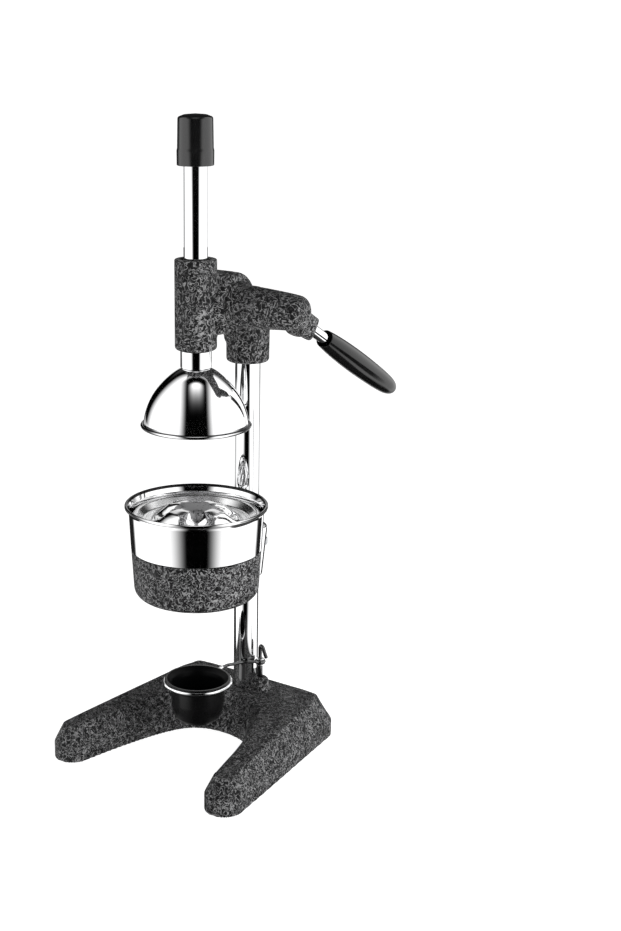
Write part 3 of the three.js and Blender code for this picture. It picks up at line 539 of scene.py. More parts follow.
def machined(name, color, rough, metallic=1.0):
    m, nt, b = material(name)
    lines = noise(nt, 1100.0, 2.0, 0.6, 0.0, (1.0, 0.08, 0.08))
    stain = noise(nt, 70.0, 3.0, 0.6)
    c = mix(nt, remap(nt, stain.outputs["Fac"], 0.35, 0.75, 0.0, 1.0), color, tuple(x * 0.72 for x in color))
    nt.links.new(c, b.inputs["Base Color"])
    nt.links.new(remap(nt, lines.outputs["Fac"], 0.3, 0.7, rough * 0.8, rough * 1.25), b.inputs["Roughness"])
    b.inputs["Metallic"].default_value = metallic
    bump(nt, b, lines.outputs["Fac"], 0.00002, 0.4)
    return m


def plastic(name, color, rough, coat, grain, spec=0.5):
    """Moulded plastic: very fine orange peel, small scuffs."""
    m, nt, b = material(name)
    peel = noise(nt, 420.0, 2.0, 0.5)
    scuff = noise(nt, 2600.0, 2.0, 0.7, 0.0, (1.0, 0.12, 1.0))
    cloud = noise(nt, 60.0, 2.0, 0.5)
    c = mix(nt, remap(nt, cloud.outputs["Fac"], 0.35, 0.7, 0.0, 1.0), color, tuple(min(1, x * 1.5) for x in color))
    nt.links.new(c, b.inputs["Base Color"])
    nt.links.new(maths(nt, "ADD", remap(nt, cloud.outputs["Fac"], 0.3, 0.7, rough * 0.85, rough * 1.2), maths(nt, "MULTIPLY", scuff.outputs["Fac"], rough * 0.25)), b.inputs["Roughness"])
    b.inputs["Specular IOR Level"].default_value = spec
    b.inputs["Coat Weight"].default_value = coat
    b.inputs["Coat Roughness"].default_value = rough * 0.6
    bump(nt, b, peel.outputs["Fac"], grain, 0.5)
    return m


def rubber():
    m, nt, b = material("foot_rubber")
    n = noise(nt, 1300.0, 3.0, 0.6)
    d = noise(nt, 90.0, 3.0, 0.6)
    c = mix(nt, remap(nt, d.outputs["Fac"], 0.4, 0.75, 0.0, 1.0), (0.014, 0.014, 0.015), (0.05, 0.048, 0.045))
    nt.links.new(c, b.inputs["Base Color"])
    nt.links.new(remap(nt, n.outputs["Fac"], 0.3, 0.7, 0.7, 0.95), b.inputs["Roughness"])
    b.inputs["Specular IOR Level"].default_value = 0.3
    bump(nt, b, n.outputs["Fac"], 0.00006, 0.6)
    return m


M = {
    "granite": granite_coat("granite_coat", 1.0, 0.22),
    "black_cap": plastic("gloss_black_cap", (0.003, 0.003, 0.0031), 0.17, 0.0, 0.00002, 0.75),
    # painted shade: a darker, less glossy copy of the cup plastic for the inside of the cup
    "cup_inside_painted_shade": plastic("cup_inside_painted_shade", (0.0015, 0.0015, 0.0016), 0.32, 0.0, 0.00003, 0.07),
    "rim": rolled_rim("rolled_rim"),
    # painted shadow: a near-black copy of the plate for the inner side of the bowl's rolled rim
    "rim_painted_shadow": plated("rolled_rim_painted_shadow", (0.02, 0.02, 0.0205), 0.12, 0.03),
    "granite_fine": granite_coat("granite_coat_fine", 1.2, 0.20),
    "chrome": plated("bright_chrome", (0.93, 0.935, 0.94), 0.035, 0.02),
    "stainless": plated("polished_sheet", (0.90, 0.90, 0.905), 0.05, 0.03, rings=True),
    "steel": machined("ground_steel", (0.48, 0.49, 0.50), 0.32),
    "zinc": machined("bright_zinc", (0.66, 0.67, 0.69), 0.28),
    "bronze": machined("bearing_bronze", (0.50, 0.33, 0.14), 0.42),
    "black": plastic("gloss_black", (0.002, 0.002, 0.0021), 0.12, 0.0, 0.00002, 0.33),
    "satin": plastic("cup_black", (0.002, 0.002, 0.0021), 0.24, 0.0, 0.00003, 0.3),
    "rubber": rubber(),
    "blackened": plated("blackened_steel", (0.10, 0.10, 0.102), 0.16, 0.05),
    "reamer": reamer_sheet(),
    # painted dark reflection: a dark copy of the chrome for the arm of the drip ring
    "wire": plated("plated_wire", (0.13, 0.131, 0.133), 0.12, 0.04),
}

# ------------------------------------------------------------------ base casting
ARCH = [(0, -40.5), (13, -41.2), (24.5, -44.4), (34.5, -50.4), (43, -59.6), (50, -72), (57.6, -91), (68.8, -130.5), (78.9, -177.5)]


def base_outline():
    arch = spline([(-13, -41.2)] + ARCH, 8)[8:]
    half = [tuple(p) for p in arch]
    for i in range(1, 24):
        a = math.pi + (i / 24) * math.pi
        half.append((98.5 + 19.65 * math.cos(a), -177.5 + 19.1 * math.sin(a)))
    for p in spline([(118.1, -176), (110.6, -103), (103.6, -38), (98.2, 15)], 4):
        half.append(tuple(p))
    for i in range(1, 16):
        a = (i / 16) * (math.pi / 2)
        half.append((76 + 22.1 * math.cos(a), 16.3 + 22 * math.sin(a)))
    half.append((60, 38.3))
    half.append((30, 38.3))
    return half[:-1] + [(30, 38.3), (0, 38.3)] + [(-x, y) for x, y in reversed(half[1:])]


OUTLINE = base_outline()


def deck(y):
    t = np.clip((y + 177) / 170, 0, 1)
    t = t - 0.06 * np.sin(2 * math.pi * t) / (2 * math.pi)
    return 38.5 + 8.0 * t


def ramp(x, a, b):
    t = np.clip((x - a) / (b - a), 0, 1)
    return t * t * (3 - 2 * t)


class Plan:
    """The table outline's distance on a fine grid, read back by interpolation."""

    def __init__(self):
        self.x0, self.y0, self.h = -124.0, -203.0, 0.8
        nx, ny = int(248 / self.h) + 2, int(248 / self.h) + 2
        X, Y = np.meshgrid(self.x0 + self.h * np.arange(nx), self.y0 + self.h * np.arange(ny), indexing="ij")
        self.d = polygon_field(X, Y, OUTLINE)

    def __call__(self, x, y):
        u, v = (x - self.x0) / self.h, (y - self.y0) / self.h
        i = np.clip(np.floor(u).astype(int), 0, self.d.shape[0] - 2)
        j = np.clip(np.floor(v).astype(int), 0, self.d.shape[1] - 2)
        u, v = np.clip(u - i, 0, 1), np.clip(v - j, 0, 1)
        d = self.d
        return (d[i, j] * (1 - u) + d[i + 1, j] * u) * (1 - v) + (d[i, j + 1] * (1 - u) + d[i + 1, j + 1] * u) * v


plan = Plan()


def base_lean(x, y):
    inner = 10.2
    side = 10.2 + 4.3 * np.clip((y + 150) / 160, 0, 1)
    w = ramp(np.abs(x) - (57 - 0.21 * y * 0.45), 0, 14)  # outside of the legs
    rear = 14.5 + 1.5 * ramp(y, 15.5, 38)
    lean = inner + (side - inner) * w
    lean = lean + (rear - lean) * ramp(y, 2, 22)
    return lean + 3.0 * ramp(np.abs(x), 58, 92) * ramp(y, -4, 18)


def base_field(x, y, z):
    d2 = plan(x, y)
    top = deck(y)
    lean = base_lean(x, y)
    s = np.clip((z - 18.0) / (top - 18.0), 0, 1.25)
    soft = 0.5 * (s + np.sqrt(s * s + 0.004)) - 0.03
    side = (d2 + lean * np.maximum(soft, 0)) * 0.93
    outer = smax(smax(side, z - top, 1.5), 1.2 - z, 0.6)
    hollow = np.maximum(d2 + 5.2 + lean * np.maximum(s, 0), z - (top - 6))
    shell = smax(outer, -hollow, 1.0)
    r = np.hypot(x, y)
    ax, ay = np.abs(x), y
    pads = np.minimum(np.hypot(ax - 97, ay + 174), np.hypot(ax - 75, ay - 15)) - 11.5
    pads = np.maximum(pads, 5.6 - z)
    ribs = np.minimum(np.maximum(np.abs(y + 0.5) - 2.5, 8 - z), np.maximum(np.abs(x) - 2.5, 8 - z))
    ribs = np.minimum(ribs, np.maximum(r - 24, 8 - z))
    inner = np.maximum(smin(pads, ribs, 1.5), outer + 2.5)
    body = smin(shell, inner, 2.0)
    body = smin(body, np.maximum(drum_field(r, z, 20.6, 12, 44.0, 0.1, 0.4), 12 - z), 0.5)
    pin_r = np.hypot(x - PIN[0], y - PIN[1])
    knob = drum_field(pin_r, z, 10.6 - 0.11 * (z - 48), 38, 60.6, 0.1, 5.4)
    body = smin(body, knob, 5.0)
    body = smax(body, -np.maximum(r - (13.2 + GAP), 20 - z), 0.8)
    body = np.maximum(body, -(r - 6.6))
    body = np.maximum(body, -np.maximum(np.maximum(ax - 17, np.abs(y) - 17), z - 11.9))
    return np.maximum(body, -np.maximum(pin_r - 2.3, 47.7 - z))


v, f = contour(base_field, (-120.3, -199.1, -0.6), (120.4, 40.4, 63.0), 1.5)
piece("base_casting_skin", v, f, M["granite_fine"], "frame", ["base_casting"], sharp=50, flip_check=False)

# ------------------------------------------------------------------ head casting
BRIDGE = [(-84, 445.6), (-80, 450), (-75, 453.8), (-70, 456.8), (-64, 458.4), (-44, 458.2), (-32, 455), (-23, 446), (-17, 433), (-4, 433), (-4, 486.4), (-16, 491),
          (-30, 499), (-44, 507), (-56, 510.8), (-68, 511.5), (-84, 511.5)]


def head_field(x, y, z):
    rf = np.hypot(x, y + REACH)
    front = drum_field(rf, z, 21.0, 437.0, 527.0, 3.6, 1.7)
    rd = np.hypot(y - AXIS_Y, z - AXIS_Z)
    housing = drum_field(rd, x, 32.5, -27.0, 28.0, 0.8, 6.6)
    housing = smax(housing, 448.3 + 8.7 * ramp(x, 9.6, 12.6) - z, 1.6)
    housing = smin(housing, drum_field(rd, x, 22.3, 5.0, 27.0, 0.1, 2.5), 1.0)
    rs = np.hypot(x, y)
    socket = drum_field(rs, z, 22.3 + 0.01 * np.clip(z - 410, 0, 60), 410.3, 487.4, 3.4, 13.5)
    p = polygon_field(y, z, BRIDGE)
    q1, q2 = p + 5.5, np.abs(x) - 19.3 + 5.5
    bridge = np.minimum(np.maximum(q1, q2), 0) + np.hypot(np.maximum(q1, 0), np.maximum(q2, 0)) - 5.5
    body = smin(smin(front, housing, 3.0), smin(bridge, socket, 6.0), 4.0)
    for cz in (440.0, 424.0):
        body = smin(body, drum_field(np.hypot(x, z - cz), y, 7.3 - 0.05 * (y - 12), 5, 25, 0.1, 1.4), 3.0)
    body = smax(body, -(rf - 15.0), 0.8)
    body = np.maximum(body, -np.maximum(rd - 28.5, x - 8.6))
    body = np.maximum(body, -np.maximum(rd - 15.0, np.maximum(x - 14, -x)))
    body = np.maximum(body, -np.maximum(rd - 11.0, 10 - x))
    body = smax(body, -np.maximum(rs - (13.2 + GAP), z - 470.4), 0.8)
    return np.maximum(body, -np.maximum(np.minimum(np.hypot(x, z - 440), np.hypot(x, z - 424)) - 4.4, 8 - y))


v, f = contour(head_field, (-34.3, -112.4, 408.9), (30.0, 27.1, 528.6), 1.15)
piece("head_casting_skin", v, f, M["granite"], "frame", ["head_casting"], sharp=50, flip_check=False)


def cover_field(x, y, z):
    rd = np.hypot(y - AXIS_Y, z - AXIS_Z)
    plate = drum_field(rd, x, 32.2, -31.0, -27.3, 1.3, 0.3)
    spigot = drum_field(rd, x, 28.2, -29.0, -22.6, 0.1, 0.4)
    hub = drum_field(rd, x, 16.2, -32.8, -19.0, 1.0, 0.4)
    body = smin(np.minimum(plate, np.maximum(spigot, 24.6 - rd)), hub, 1.2)
    body = np.maximum(body, -(rd - 11.0))
    body = smax(body, -(x * 0.792 + y * 0.611) - 75.5, 0.8)
    for k in range(4):
        t = math.radians(45 + 90 * k)
        rr = np.hypot(y - AXIS_Y - 30.4 * math.cos(t) * 0.0 - 30.4 * math.cos(t), z - AXIS_Z - 30.4 * math.sin(t))
        body = np.maximum(body, -(rr - 1.8))
        body = smax(body, -np.maximum(rr - 3.2, x + 29.4), 0.4)
    return body


v, f = contour(cover_field, (-34.0, AXIS_Y - 33.5, AXIS_Z - 33.5), (-18.0, AXIS_Y + 33.6, AXIS_Z + 33.6), 0.7)
piece("gear_cover_skin", v, f, M["granite"], "frame", ["gear_cover"], sharp=50, flip_check=False)

# ------------------------------------------------------------------ lever hub


HUB_SIDE = spline([(24.2, 28.6), (24.7, 29.1), (22.9, 32.4), (21.3, 38.6), (20.5, 53), (19.1, 75), (17.3, 95), (16.3, 100.4), (13.4, 104.4), (8.6, 106.7), (3.0, 107.2)], 5)
HUB_SIDE = [(float(a), float(b)) for a, b in HUB_SIDE]
HUB_POLY = [(r, h) for r, h in HUB_SIDE] + [(-r, h) for r, h in reversed(HUB_SIDE)]
MITRE_N = np.array([0.813, 0.479, -0.335]) / math.sqrt(0.813 ** 2 + 0.479 ** 2 + 0.335 ** 2)


def hub_field(x, y, z):
    ry, rz = y - AXIS_Y, z - AXIS_Z
    rad = np.hypot(ry, rz)
    cone = polygon_field(rad, x, HUB_POLY)
    c, s = math.cos(LEVER_DOWN), math.sin(LEVER_DOWN)
    along, over = ry * c - rz * s, ry * s + rz * c
    off = np.hypot(x - ROD_X, over)
    RB = 14.1 - 1.7 * np.clip(along, 0, 32) / 32 - 0.3 * np.clip(along - 32, 0, 28) / 28
    boss = drum_field(off, along, RB, -6.0, 60.0, 6.0, 0.4)
    face = (x - ROD_X) * MITRE_N[0] + (ry - 56 * c) * MITRE_N[1] + (rz + 56 * s) * MITRE_N[2]
    boss = smax(boss, face, 1.6)
    under = (x - 86.2) * 0.162 - (ry - 49.0) * 0.221 - (rz + 27.2) * 0.962
    boss = smax(boss, under - 8.6, 2.5)
    pad = drum_field(np.hypot(x - ROD_X, along - 22), -over, 9.2 - 0.04 * np.clip(-over, 0, 16), 0.0, 15.5, 0.1, 2.6)
    body = smin(smin(cone, boss, 5.0), pad, 5.0)
    body = smax(body, -np.maximum(off - 6.3, 21 - along), 0.6)
    body = np.maximum(body, -np.maximum(rad - 8.3, x - 92))
    return np.maximum(body, -np.maximum(np.hypot(x - 52, ry) - 3.4, rz + 4))


v, f = contour(hub_field, (27.3, -82.4, 437.4), (108.8, 4.4, 505.4), 1.05)
piece("lever_hub_skin", v, f, M["granite"], "lever", ["lever_hub"], sharp=50, flip_check=False)

# ------------------------------------------------------------------ bowl holder


def holder_field(x, y, z):
    r = np.hypot(x, y + REACH)
    R = 65.0 + 1.9 * (z - 196) / 31
    outer = drum_field(r, z, R, 178.7, 229.4, 10.5, 1.0)
    rin = 62.6 + 1.3 * (z - 200) / 27
    void = drum_field(r, z, rin, 185.0, 290.0, 9.0, 0.5)
    rc = np.hypot(x, y)
    collar = drum_field(rc, z, 17.0 + 5.0 * np.clip((z - 175.5) / 50.5, 0, 1), 175.5, 230.6, 1.4, 1.4)
    web = np.maximum(np.maximum(np.abs(x) - 17 + 3, np.abs(z - 203.3) - 22.3 + 3), np.abs(y + 20) - 14)
    web = np.where(web > 0, np.hypot(np.maximum(np.abs(x) - 14, 0), np.maximum(np.abs(z - 203.3) - 19.3, 0)), web) - 3
    web = np.maximum(web, np.abs(y + 20) - 14)
    lug = drum_field(np.hypot(x, z - 205), y, 8.6 - 0.05 * (y - 10), 6, 25.8, 0.1, 1.3)
    body = smin(outer, smin(smin(collar, web, 6.0), lug, 3.0), 6.0)
    body = smax(body, -void, 0.8)
    body = smax(body, -(r - 12.5), 0.8)
    body = smax(body, -(rc - (13.2 + GAP)), 0.8)
    return np.maximum(body, -np.maximum(np.hypot(x, z - 205) - 4.4, 8 - y))


v, f = contour(holder_field, (-68.6, -158.6, 174.0), (68.7, 28.0, 232.3), 1.3)
holder = piece("bowl_holder_skin", v, f, M["granite"], "frame", ["bowl_holder"], sharp=50, flip_check=False)
holder.data.materials.append(M["chrome"])
for poly in holder.data.polygons:
    cx_, cy_, cz_ = poly.center * 1000
    if math.hypot(cx_, cy_ - COLUMN_Y) < 17.4 + 5.0 * (cz_ - 175.5) / 50.5:
        poly.material_index = 1

# ------------------------------------------------------------------ column
tube = fillet([(11.2, 20.3), (13.2, 20.3, 0.4), (13.2, 470, 0.4), (11.2, 470)])
v, f = revolve(tube, 128)
piece("column_tube_skin", v, f, M["chrome"], "frame", ["column_tube"])

# ------------------------------------------------------------------ ram: bar, cap, neck, bell
RAM_AT = (0, -REACH, 0)


def ram_bar():
    """The toothed bar: round in front, with the rack cut into its rear side."""
    tooth = math.pi * 2.5
    tip, root = 11.3, 5.9
    space = tooth / 2 + 0.22
    w_tip = space / 2 + 2.3 * math.tan(math.radians(20))
    w_root = space / 2 - 3.1 * math.tan(math.radians(20))
    levels = []  # (z, depth of the rear cut as y, or None)
    levels += [(409.3, None, 5.2), (409.9, None, 5.85), (410.5, None, 6.0), (426.0, None, 6.0), (426.0, None, 11.4), (426.4, None, 11.85), (426.9, None, 12.0)]
    z_first = 479.0 - 2 * tooth - tooth / 2
    levels += [(436.0, None, 12.0), (448.0, None, 12.0), (z_first - 0.01, None, 12.0), (z_first, tip, 12.0)]
    for k in range(-2, 14):
        z = 479.0 + k * tooth
        levels += [(z - w_tip, tip, 12.0), (z - w_root, root, 12.0), (z + w_root, root, 12.0), (z + w_tip, tip, 12.0)]
    z_last = 479.0 + 13 * tooth + tooth / 2
    levels += [(z_last, tip, 12.0), (z_last + 0.01, None, 12.0), (620.0, None, 12.0), (654.0, None, 12.0), (654.7, None, 11.7), (655.0, None, 11.0)]
    seg = 96
    angles = np.linspace(0, 2 * math.pi, seg, endpoint=False)
    verts, faces = [], []
    for z, cut, R in levels:
        x, y = R * np.cos(angles), R * np.sin(angles)
        if cut is not None:
            y = np.minimum(y, cut)
        verts.append(np.stack([x, y, np.full(seg, z)], 1))
    n = len(levels)
    for i in range(n - 1):
        for k in range(seg):
            m = (k + 1) % seg
            faces.append([i * seg + k, i * seg + m, (i + 1) * seg + m, (i + 1) * seg + k])
    faces.append(list(range(seg))[::-1])
    faces.append([(n - 1) * seg + k for k in range(seg)])
    return np.concatenate(verts) + np.array(RAM_AT, float), faces


v, f = ram_bar()
piece("ram_rack_skin", v, f, M["chrome"], "ram", ["ram_rack"], sharp=28, flip_check=False)

cap = fillet([
    (12.3, 616.8), (18.1, 616.8, 0.7), (18.2, 631.0, 1.5), (17.65, 633.2, 2.0), (17.15, 662.4, 2.6), (11.0, 664.7, 5.0), (0, 665.6),
    (0, 655.4), (12.3, 655.4),
], 6)
v, f = revolve(cap, 96, at=RAM_AT)
piece("ram_cap_skin", v, f, M["black_cap"], "ram", ["ram_cap"])

neck = fillet([
    (6.4, 422.2), (11.0, 420.95), (15.1, 418.95, 0.5), (15.6, 419.6, 0.4), (15.6, 436.4, 0.5), (12.3, 436.4), (12.3, 425.7), (6.4, 425.7),
], 6)
v, f = revolve(neck, 96, at=RAM_AT)
piece("bell_neck_skin", v, f, M["chrome"], "ram", ["bell_neck"])


BELL = [(52.9, 363.6), (51.8, 370), (49.75, 377), (46.85, 384), (43.1, 391), (38.3, 398), (33.2, 404), (28.0, 409), (21.8, 414), (16.1, 418), (11.0, 420.6), (6.5, 421.9)]


def smooth_profile(points, n, order=5):
    """A fair curve through measured profile points, with its normals."""
    p = np.array(points, float)
    t = np.concatenate([[0], np.cumsum(np.hypot(*np.diff(p, axis=0).T))])
    t /= t[-1]
    cr, cz = np.polyfit(t, p[:, 0], order), np.polyfit(t, p[:, 1], order)
    u = np.linspace(0, 1, n)
    d = np.stack([np.polyval(np.polyder(cr), u), np.polyval(np.polyder(cz), u)], 1)
    d /= np.linalg.norm(d, axis=1)[:, None]
    return np.stack([np.polyval(cr, u), np.polyval(cz, u)], 1), np.stack([d[:, 1], -d[:, 0]], 1)


curve, normal = smooth_profile(BELL, 64)
outside = [tuple(q) for q in curve]
inside = [tuple(q) for q in curve - 1.4 * normal]
bead = [(54.25 + 1.75 * math.cos(a), 360.1 + 1.7 * math.sin(a)) for a in np.linspace(math.radians(118), math.radians(-150), 18)]
bell = outside[::-1] + [(53.1, 362.5)] + bead + [(51.6, 359.9), (51.2, 361.2)] + inside
v, f = revolve(bell, 144, at=RAM_AT)
bell_skin = piece("press_bell_skin", v, f, M["stainless"], "ram", ["press_bell"], sharp=40)
bell_skin.data.materials.append(M["rim"])
# the bead below the wall takes the rolled-rim material, with its painted dark reflection at the outline
for poly in bell_skin.data.polygons:
    if poly.center[2] < 0.3631:
        poly.material_index = 1

# ------------------------------------------------------------------ bowl and strainer
bowl = fillet([
    (8, 170.5, 0.4), (9.4, 170.5, 0.4), (9.6, 182, 2), (11, 187.2, 2), (55, 192.6, 7), (61, 198.6, 4), (63.4, 229.8, 0.6), (67.2, 230.2, 0.8),
    (69.2, 269.6, 4), (71.2, 273.6, 1.5), (72.6, 273.4, 0.7), (73.4, 274.2, 0.8), (73.4, 276.0, 0.8), (72.4, 276.9, 0.7), (70.8, 276.5, 1.5),
    (69.8, 274.4), (67.8, 270.2, 4), (66.0, 232.2, 0.6), (62.1, 231.2, 1.4), (59.7, 199.2, 4), (54.6, 194.1, 6), (10.4, 188.8, 1.5), (8, 184, 1),
], 5)
v, f = revolve(bowl, 160, at=RAM_AT)
bowl_skin = piece("juice_bowl_skin", v, f, M["stainless"], "bowl", ["juice_bowl"], sharp=40)
bowl_skin.data.materials.append(M["rim"])
bowl_skin.data.materials.append(M["rim_painted_shadow"])
# rim faces take the rolled-rim material with its painted dark reflection; the inward-facing ones on top take the
# painted shadow material, those below it the plain sheet
for poly in bowl_skin.data.polygons:
    x, y, z = poly.center
    if z > 0.2733:
        inward = -(poly.normal[0] * x + poly.normal[1] * (y + 0.07)) / math.hypot(x, y + 0.07)
        poly.material_index = 1
        if inward > 0.3:
            poly.material_index = 2 if z > 0.2744 else 0

FLUTE = math.radians(53.2)


def lobes(v):
    r = np.hypot(v[:, 0], v[:, 1])
    a = np.arctan2(v[:, 1], v[:, 0])
    zone = ramp(r, 11, 24) * (1 - ramp(r, 34, 45))
    valley = (0.5 + 0.5 * np.cos(4 * (a + FLUTE))) ** 3.2
    crest = (0.5 - 0.5 * np.cos(4 * (a + FLUTE))) ** 0.7
    out = v.copy()
    out[:, 2] += zone * (0.8 * crest - 6.6 * valley)
    k = 1 + zone * (0.02 * crest - 0.06 * valley)
    out[:, 0] *= k
    out[:, 1] *= k
    return out


top = fillet([
    (65.6, 232.8), (65.6, 265.6, 1.6), (63.6, 267.3, 1.4), (60.6, 266.6, 2.0), (54.5, 260.4, 4.0), (46.6, 259.6, 4.0), (41.0, 264.0, 4.0),
    (31.0, 271.4, 6.0), (21.5, 273.6, 2.0), (19.0, 273.6, 1.0), (0, 274.2),
], 6, closed=False)
dense = []
for (r0, h0), (r1, h1) in zip(top[:-1], top[1:]):
    k = max(1, int(math.hypot(r1 - r0, h1 - h0) / 1.1)) if r0 < 60 else max(1, int(abs(h1 - h0) / 12))
    dense += [(r0 + (r1 - r0) * t / k, h0 + (h1 - h0) * t / k) for t in range(k)]
dense.append(top[-1])
under = []
for i, (r, h) in enumerate(dense):
    a, b = np.array(dense[max(i - 1, 0)]), np.array(dense[min(i + 1, len(dense) - 1)])
    t = (b - a) / max(np.linalg.norm(b - a), 1e-9)
    under.append((max(r - 1.2 * t[1] * 1.0 if r > 0 else 0, 0), h - 1.2 * -t[0] if False else h + 1.2 * t[0]))
under = [(min(r, 64.4), h) for r, h in under]
under[0] = (64.4, 232.8)
under[-1] = (0, 273.0)
v, f = revolve(dense + under[::-1], 216, at=RAM_AT, deform=lobes)
strainer = piece("reamer_strainer_skin", v, f, M["reamer"], "strainer", ["reamer_strainer"], sharp=55)

# ------------------------------------------------------------------ lever rod and grip
rod = fillet([(0, 21.4), (6, 21.4, 0.4), (6, 171.6, 0.8), (0, 171.6)])
v, f = revolve(rod, 64, axis="y")
piece("lever_rod_skin", to_rod(v), f, M["chrome"], "lever", ["lever_rod"])

g0, g1 = 77.6, 242.1
outer = spline([(9.3, g0), (9.75, g0 + 5), (11.0, g0 + 23), (12.0, g0 + 52), (12.2, g0 + 76), (11.8, g0 + 103), (10.9, g0 + 130), (9.3, g0 + 148.4), (6.9, g0 + 157), (3.4, g0 + 161.8), (0.0, g0 + 162.9)], 6)
grip = [(6.3, g0 + 11.8), (7.6, g0 + 11.8), (8.2, g0 + 1.0), (8.45, g0 + 0.25), (8.9, g0 - 0.0)] + [(max(r, 0), h) for r, h in outer] + [(0, 172.4), (6.3, 172.4)]
v, f = revolve(grip, 96, axis="y")
piece("lever_grip_skin", to_rod(v), f, M["black"], "lever", ["lever_grip"])

# ------------------------------------------------------------------ drip cup, arm and pin
cx, cy = 2.0, -91.0
cup = fillet([
    (0, 37.3), (13, 37.3, 4), (19.2, 39.2, 5), (24, 43.8, 6), (26.8, 51, 8), (27.8, 60, 20), (28.2, 76, 6), (31, 81.4, 2), (32.8, 84.1, 1.2), (34.8, 84.1, 0.5), (34.8, 85.4, 0.5),
    (32.2, 85.4, 1.2), (27.9, 81, 2.5), (26.4, 76.2, 6), (26, 60.2, 20), (25, 51.6, 8), (22.4, 45, 6), (18.4, 41, 5), (12.6, 39.2, 4), (0, 39.2),
], 5)
v, f = revolve(cup, 96, at=(cx, cy, 0))
cup_skin = piece("drip_cup_skin", v, f, M["satin"], "cup", ["drip_cup"], sharp=45)
cup_skin.data.materials.append(M["cup_inside_painted_shade"])
# painted shade: inside faces and the cup's floor take the darker, less glossy copy
for poly in cup_skin.data.polygons:
    x, y, z = poly.center
    inward = -(poly.normal[0] * (x - cx / 1000) + poly.normal[1] * (y - cy / 1000))
    if inward > 0 or (z < 0.0394 and poly.normal[2] > 0.5):
        poly.material_index = 1

ring_r, ring_z, wire_r = 35.0, 82.0, 1.75
loop = [(cx + ring_r * math.cos(a), cy + ring_r * math.sin(a), ring_z) for a in np.linspace(0, 2 * math.pi, 120, endpoint=False)]
ring = sweep(loop, wire_r, 16, closed=True)
px, py = PIN
arm_path = spline([
    (cx, cy + ring_r, ring_z), (cx, cy + ring_r + 6, 82), (cx - 0.6, cy + ring_r + 16, 80.8), (cx - 2, cy + ring_r + 23, 79.2),
    (cx + 0.4, cy + ring_r + 31.4, 78.2), (px - 15.2, py - 15.2, 78.1), (px - 9.6, py - 9.6, 78.1), (px - 3.9, py - 3.9, 78.1),
], 10)
arm = sweep(arm_path, wire_r, 16)
eye = revolve(fillet([(3.7, 75.9, 0.5), (5.2, 75.9, 0.8), (6.3, 78.1, 1.6), (5.2, 80.3, 0.8), (3.7, 80.3, 0.5)], 4), 48, at=(px, py, 0))
v, f = join(ring, arm, eye)
arm_skin = piece("drip_arm_skin", v, f, M["chrome"], "drip_swing_arm", ["drip_arm"], flip_check=False)
arm_skin.data.materials.append(M["wire"])
# painted dark reflection: the arm and its eye, away from the ring, take the dark copy of the chrome
for poly in arm_skin.data.polygons:
    if math.hypot(poly.center[0] * 1000 - cx, poly.center[1] * 1000 - COLUMN_Y - cy) > ring_r + 9:
        poly.material_index = 1

sleeve = fillet([(2.3, 74.3), (4.3, 74.3, 0.3), (4.3, 75.5, 0.2), (3.4, 75.5), (3.4, 80.8), (4.3, 80.8, 0.2), (4.3, 81.8, 0.3), (2.3, 81.8)], 3)
v, f = revolve(sleeve, 48, at=(px, py, 0))
piece("drip_arm_bush_skin", v, f, M["chrome"], "drip_slider", ["drip_arm_bush"])

post_path = [(px, py, 48), (px, py, 58), (px, py, 70), (px, py, 82), (px, py, 90)]
hook_path = spline([(px, py, 90), (px, py, 94.2), (px + 1.2, py - 0.1, 96.4), (px + 3.6, py - 0.4, 95.4), (px + 6, py - 0.7, 90.4), (px + 8.6, py - 1.0, 85.0)], 10)
pin = sweep(np.concatenate([np.array(post_path[:-1], float), hook_path]), 2.0, 20)
ledge = revolve(fillet([(0, 62.2), (2.9, 62.2, 0.4), (2.9, 74.0, 0.4), (0, 74.0)], 3), 40, at=(px, py, 0))
v, f = join(pin, ledge)
piece("drip_pivot_pin_skin", v, f, M["blackened"], "frame", ["drip_pivot_pin"], flip_check=False)

# ------------------------------------------------------------------ bushes, screws and feet
for name, a, b in (("guide_bush_upper", 507.6, 522.8), ("guide_bush_lower", 437.6, 449)):
    v, f = revolve(fillet([(12.3, a, 0.5), (14.7, a, 0.5), (14.7, b, 0.5), (12.3, b, 0.5)], 3), 80, at=RAM_AT)
    piece(name + "_skin", v, f, M["bronze"], "frame", [name])
for name, a, b in (("shaft_bush_right", 14.4, 27.8), ("shaft_bush_left", -32.4, -19.4)):
    v, f = revolve(fillet([(8.3, a, 0.5), (10.7, a, 0.5), (10.7, b, 0.5), (8.3, b, 0.5)], 3), 64, axis="x", at=(0, AXIS_Y, AXIS_Z))
    piece(name + "_skin", v, f, M["bronze"], "frame", [name])


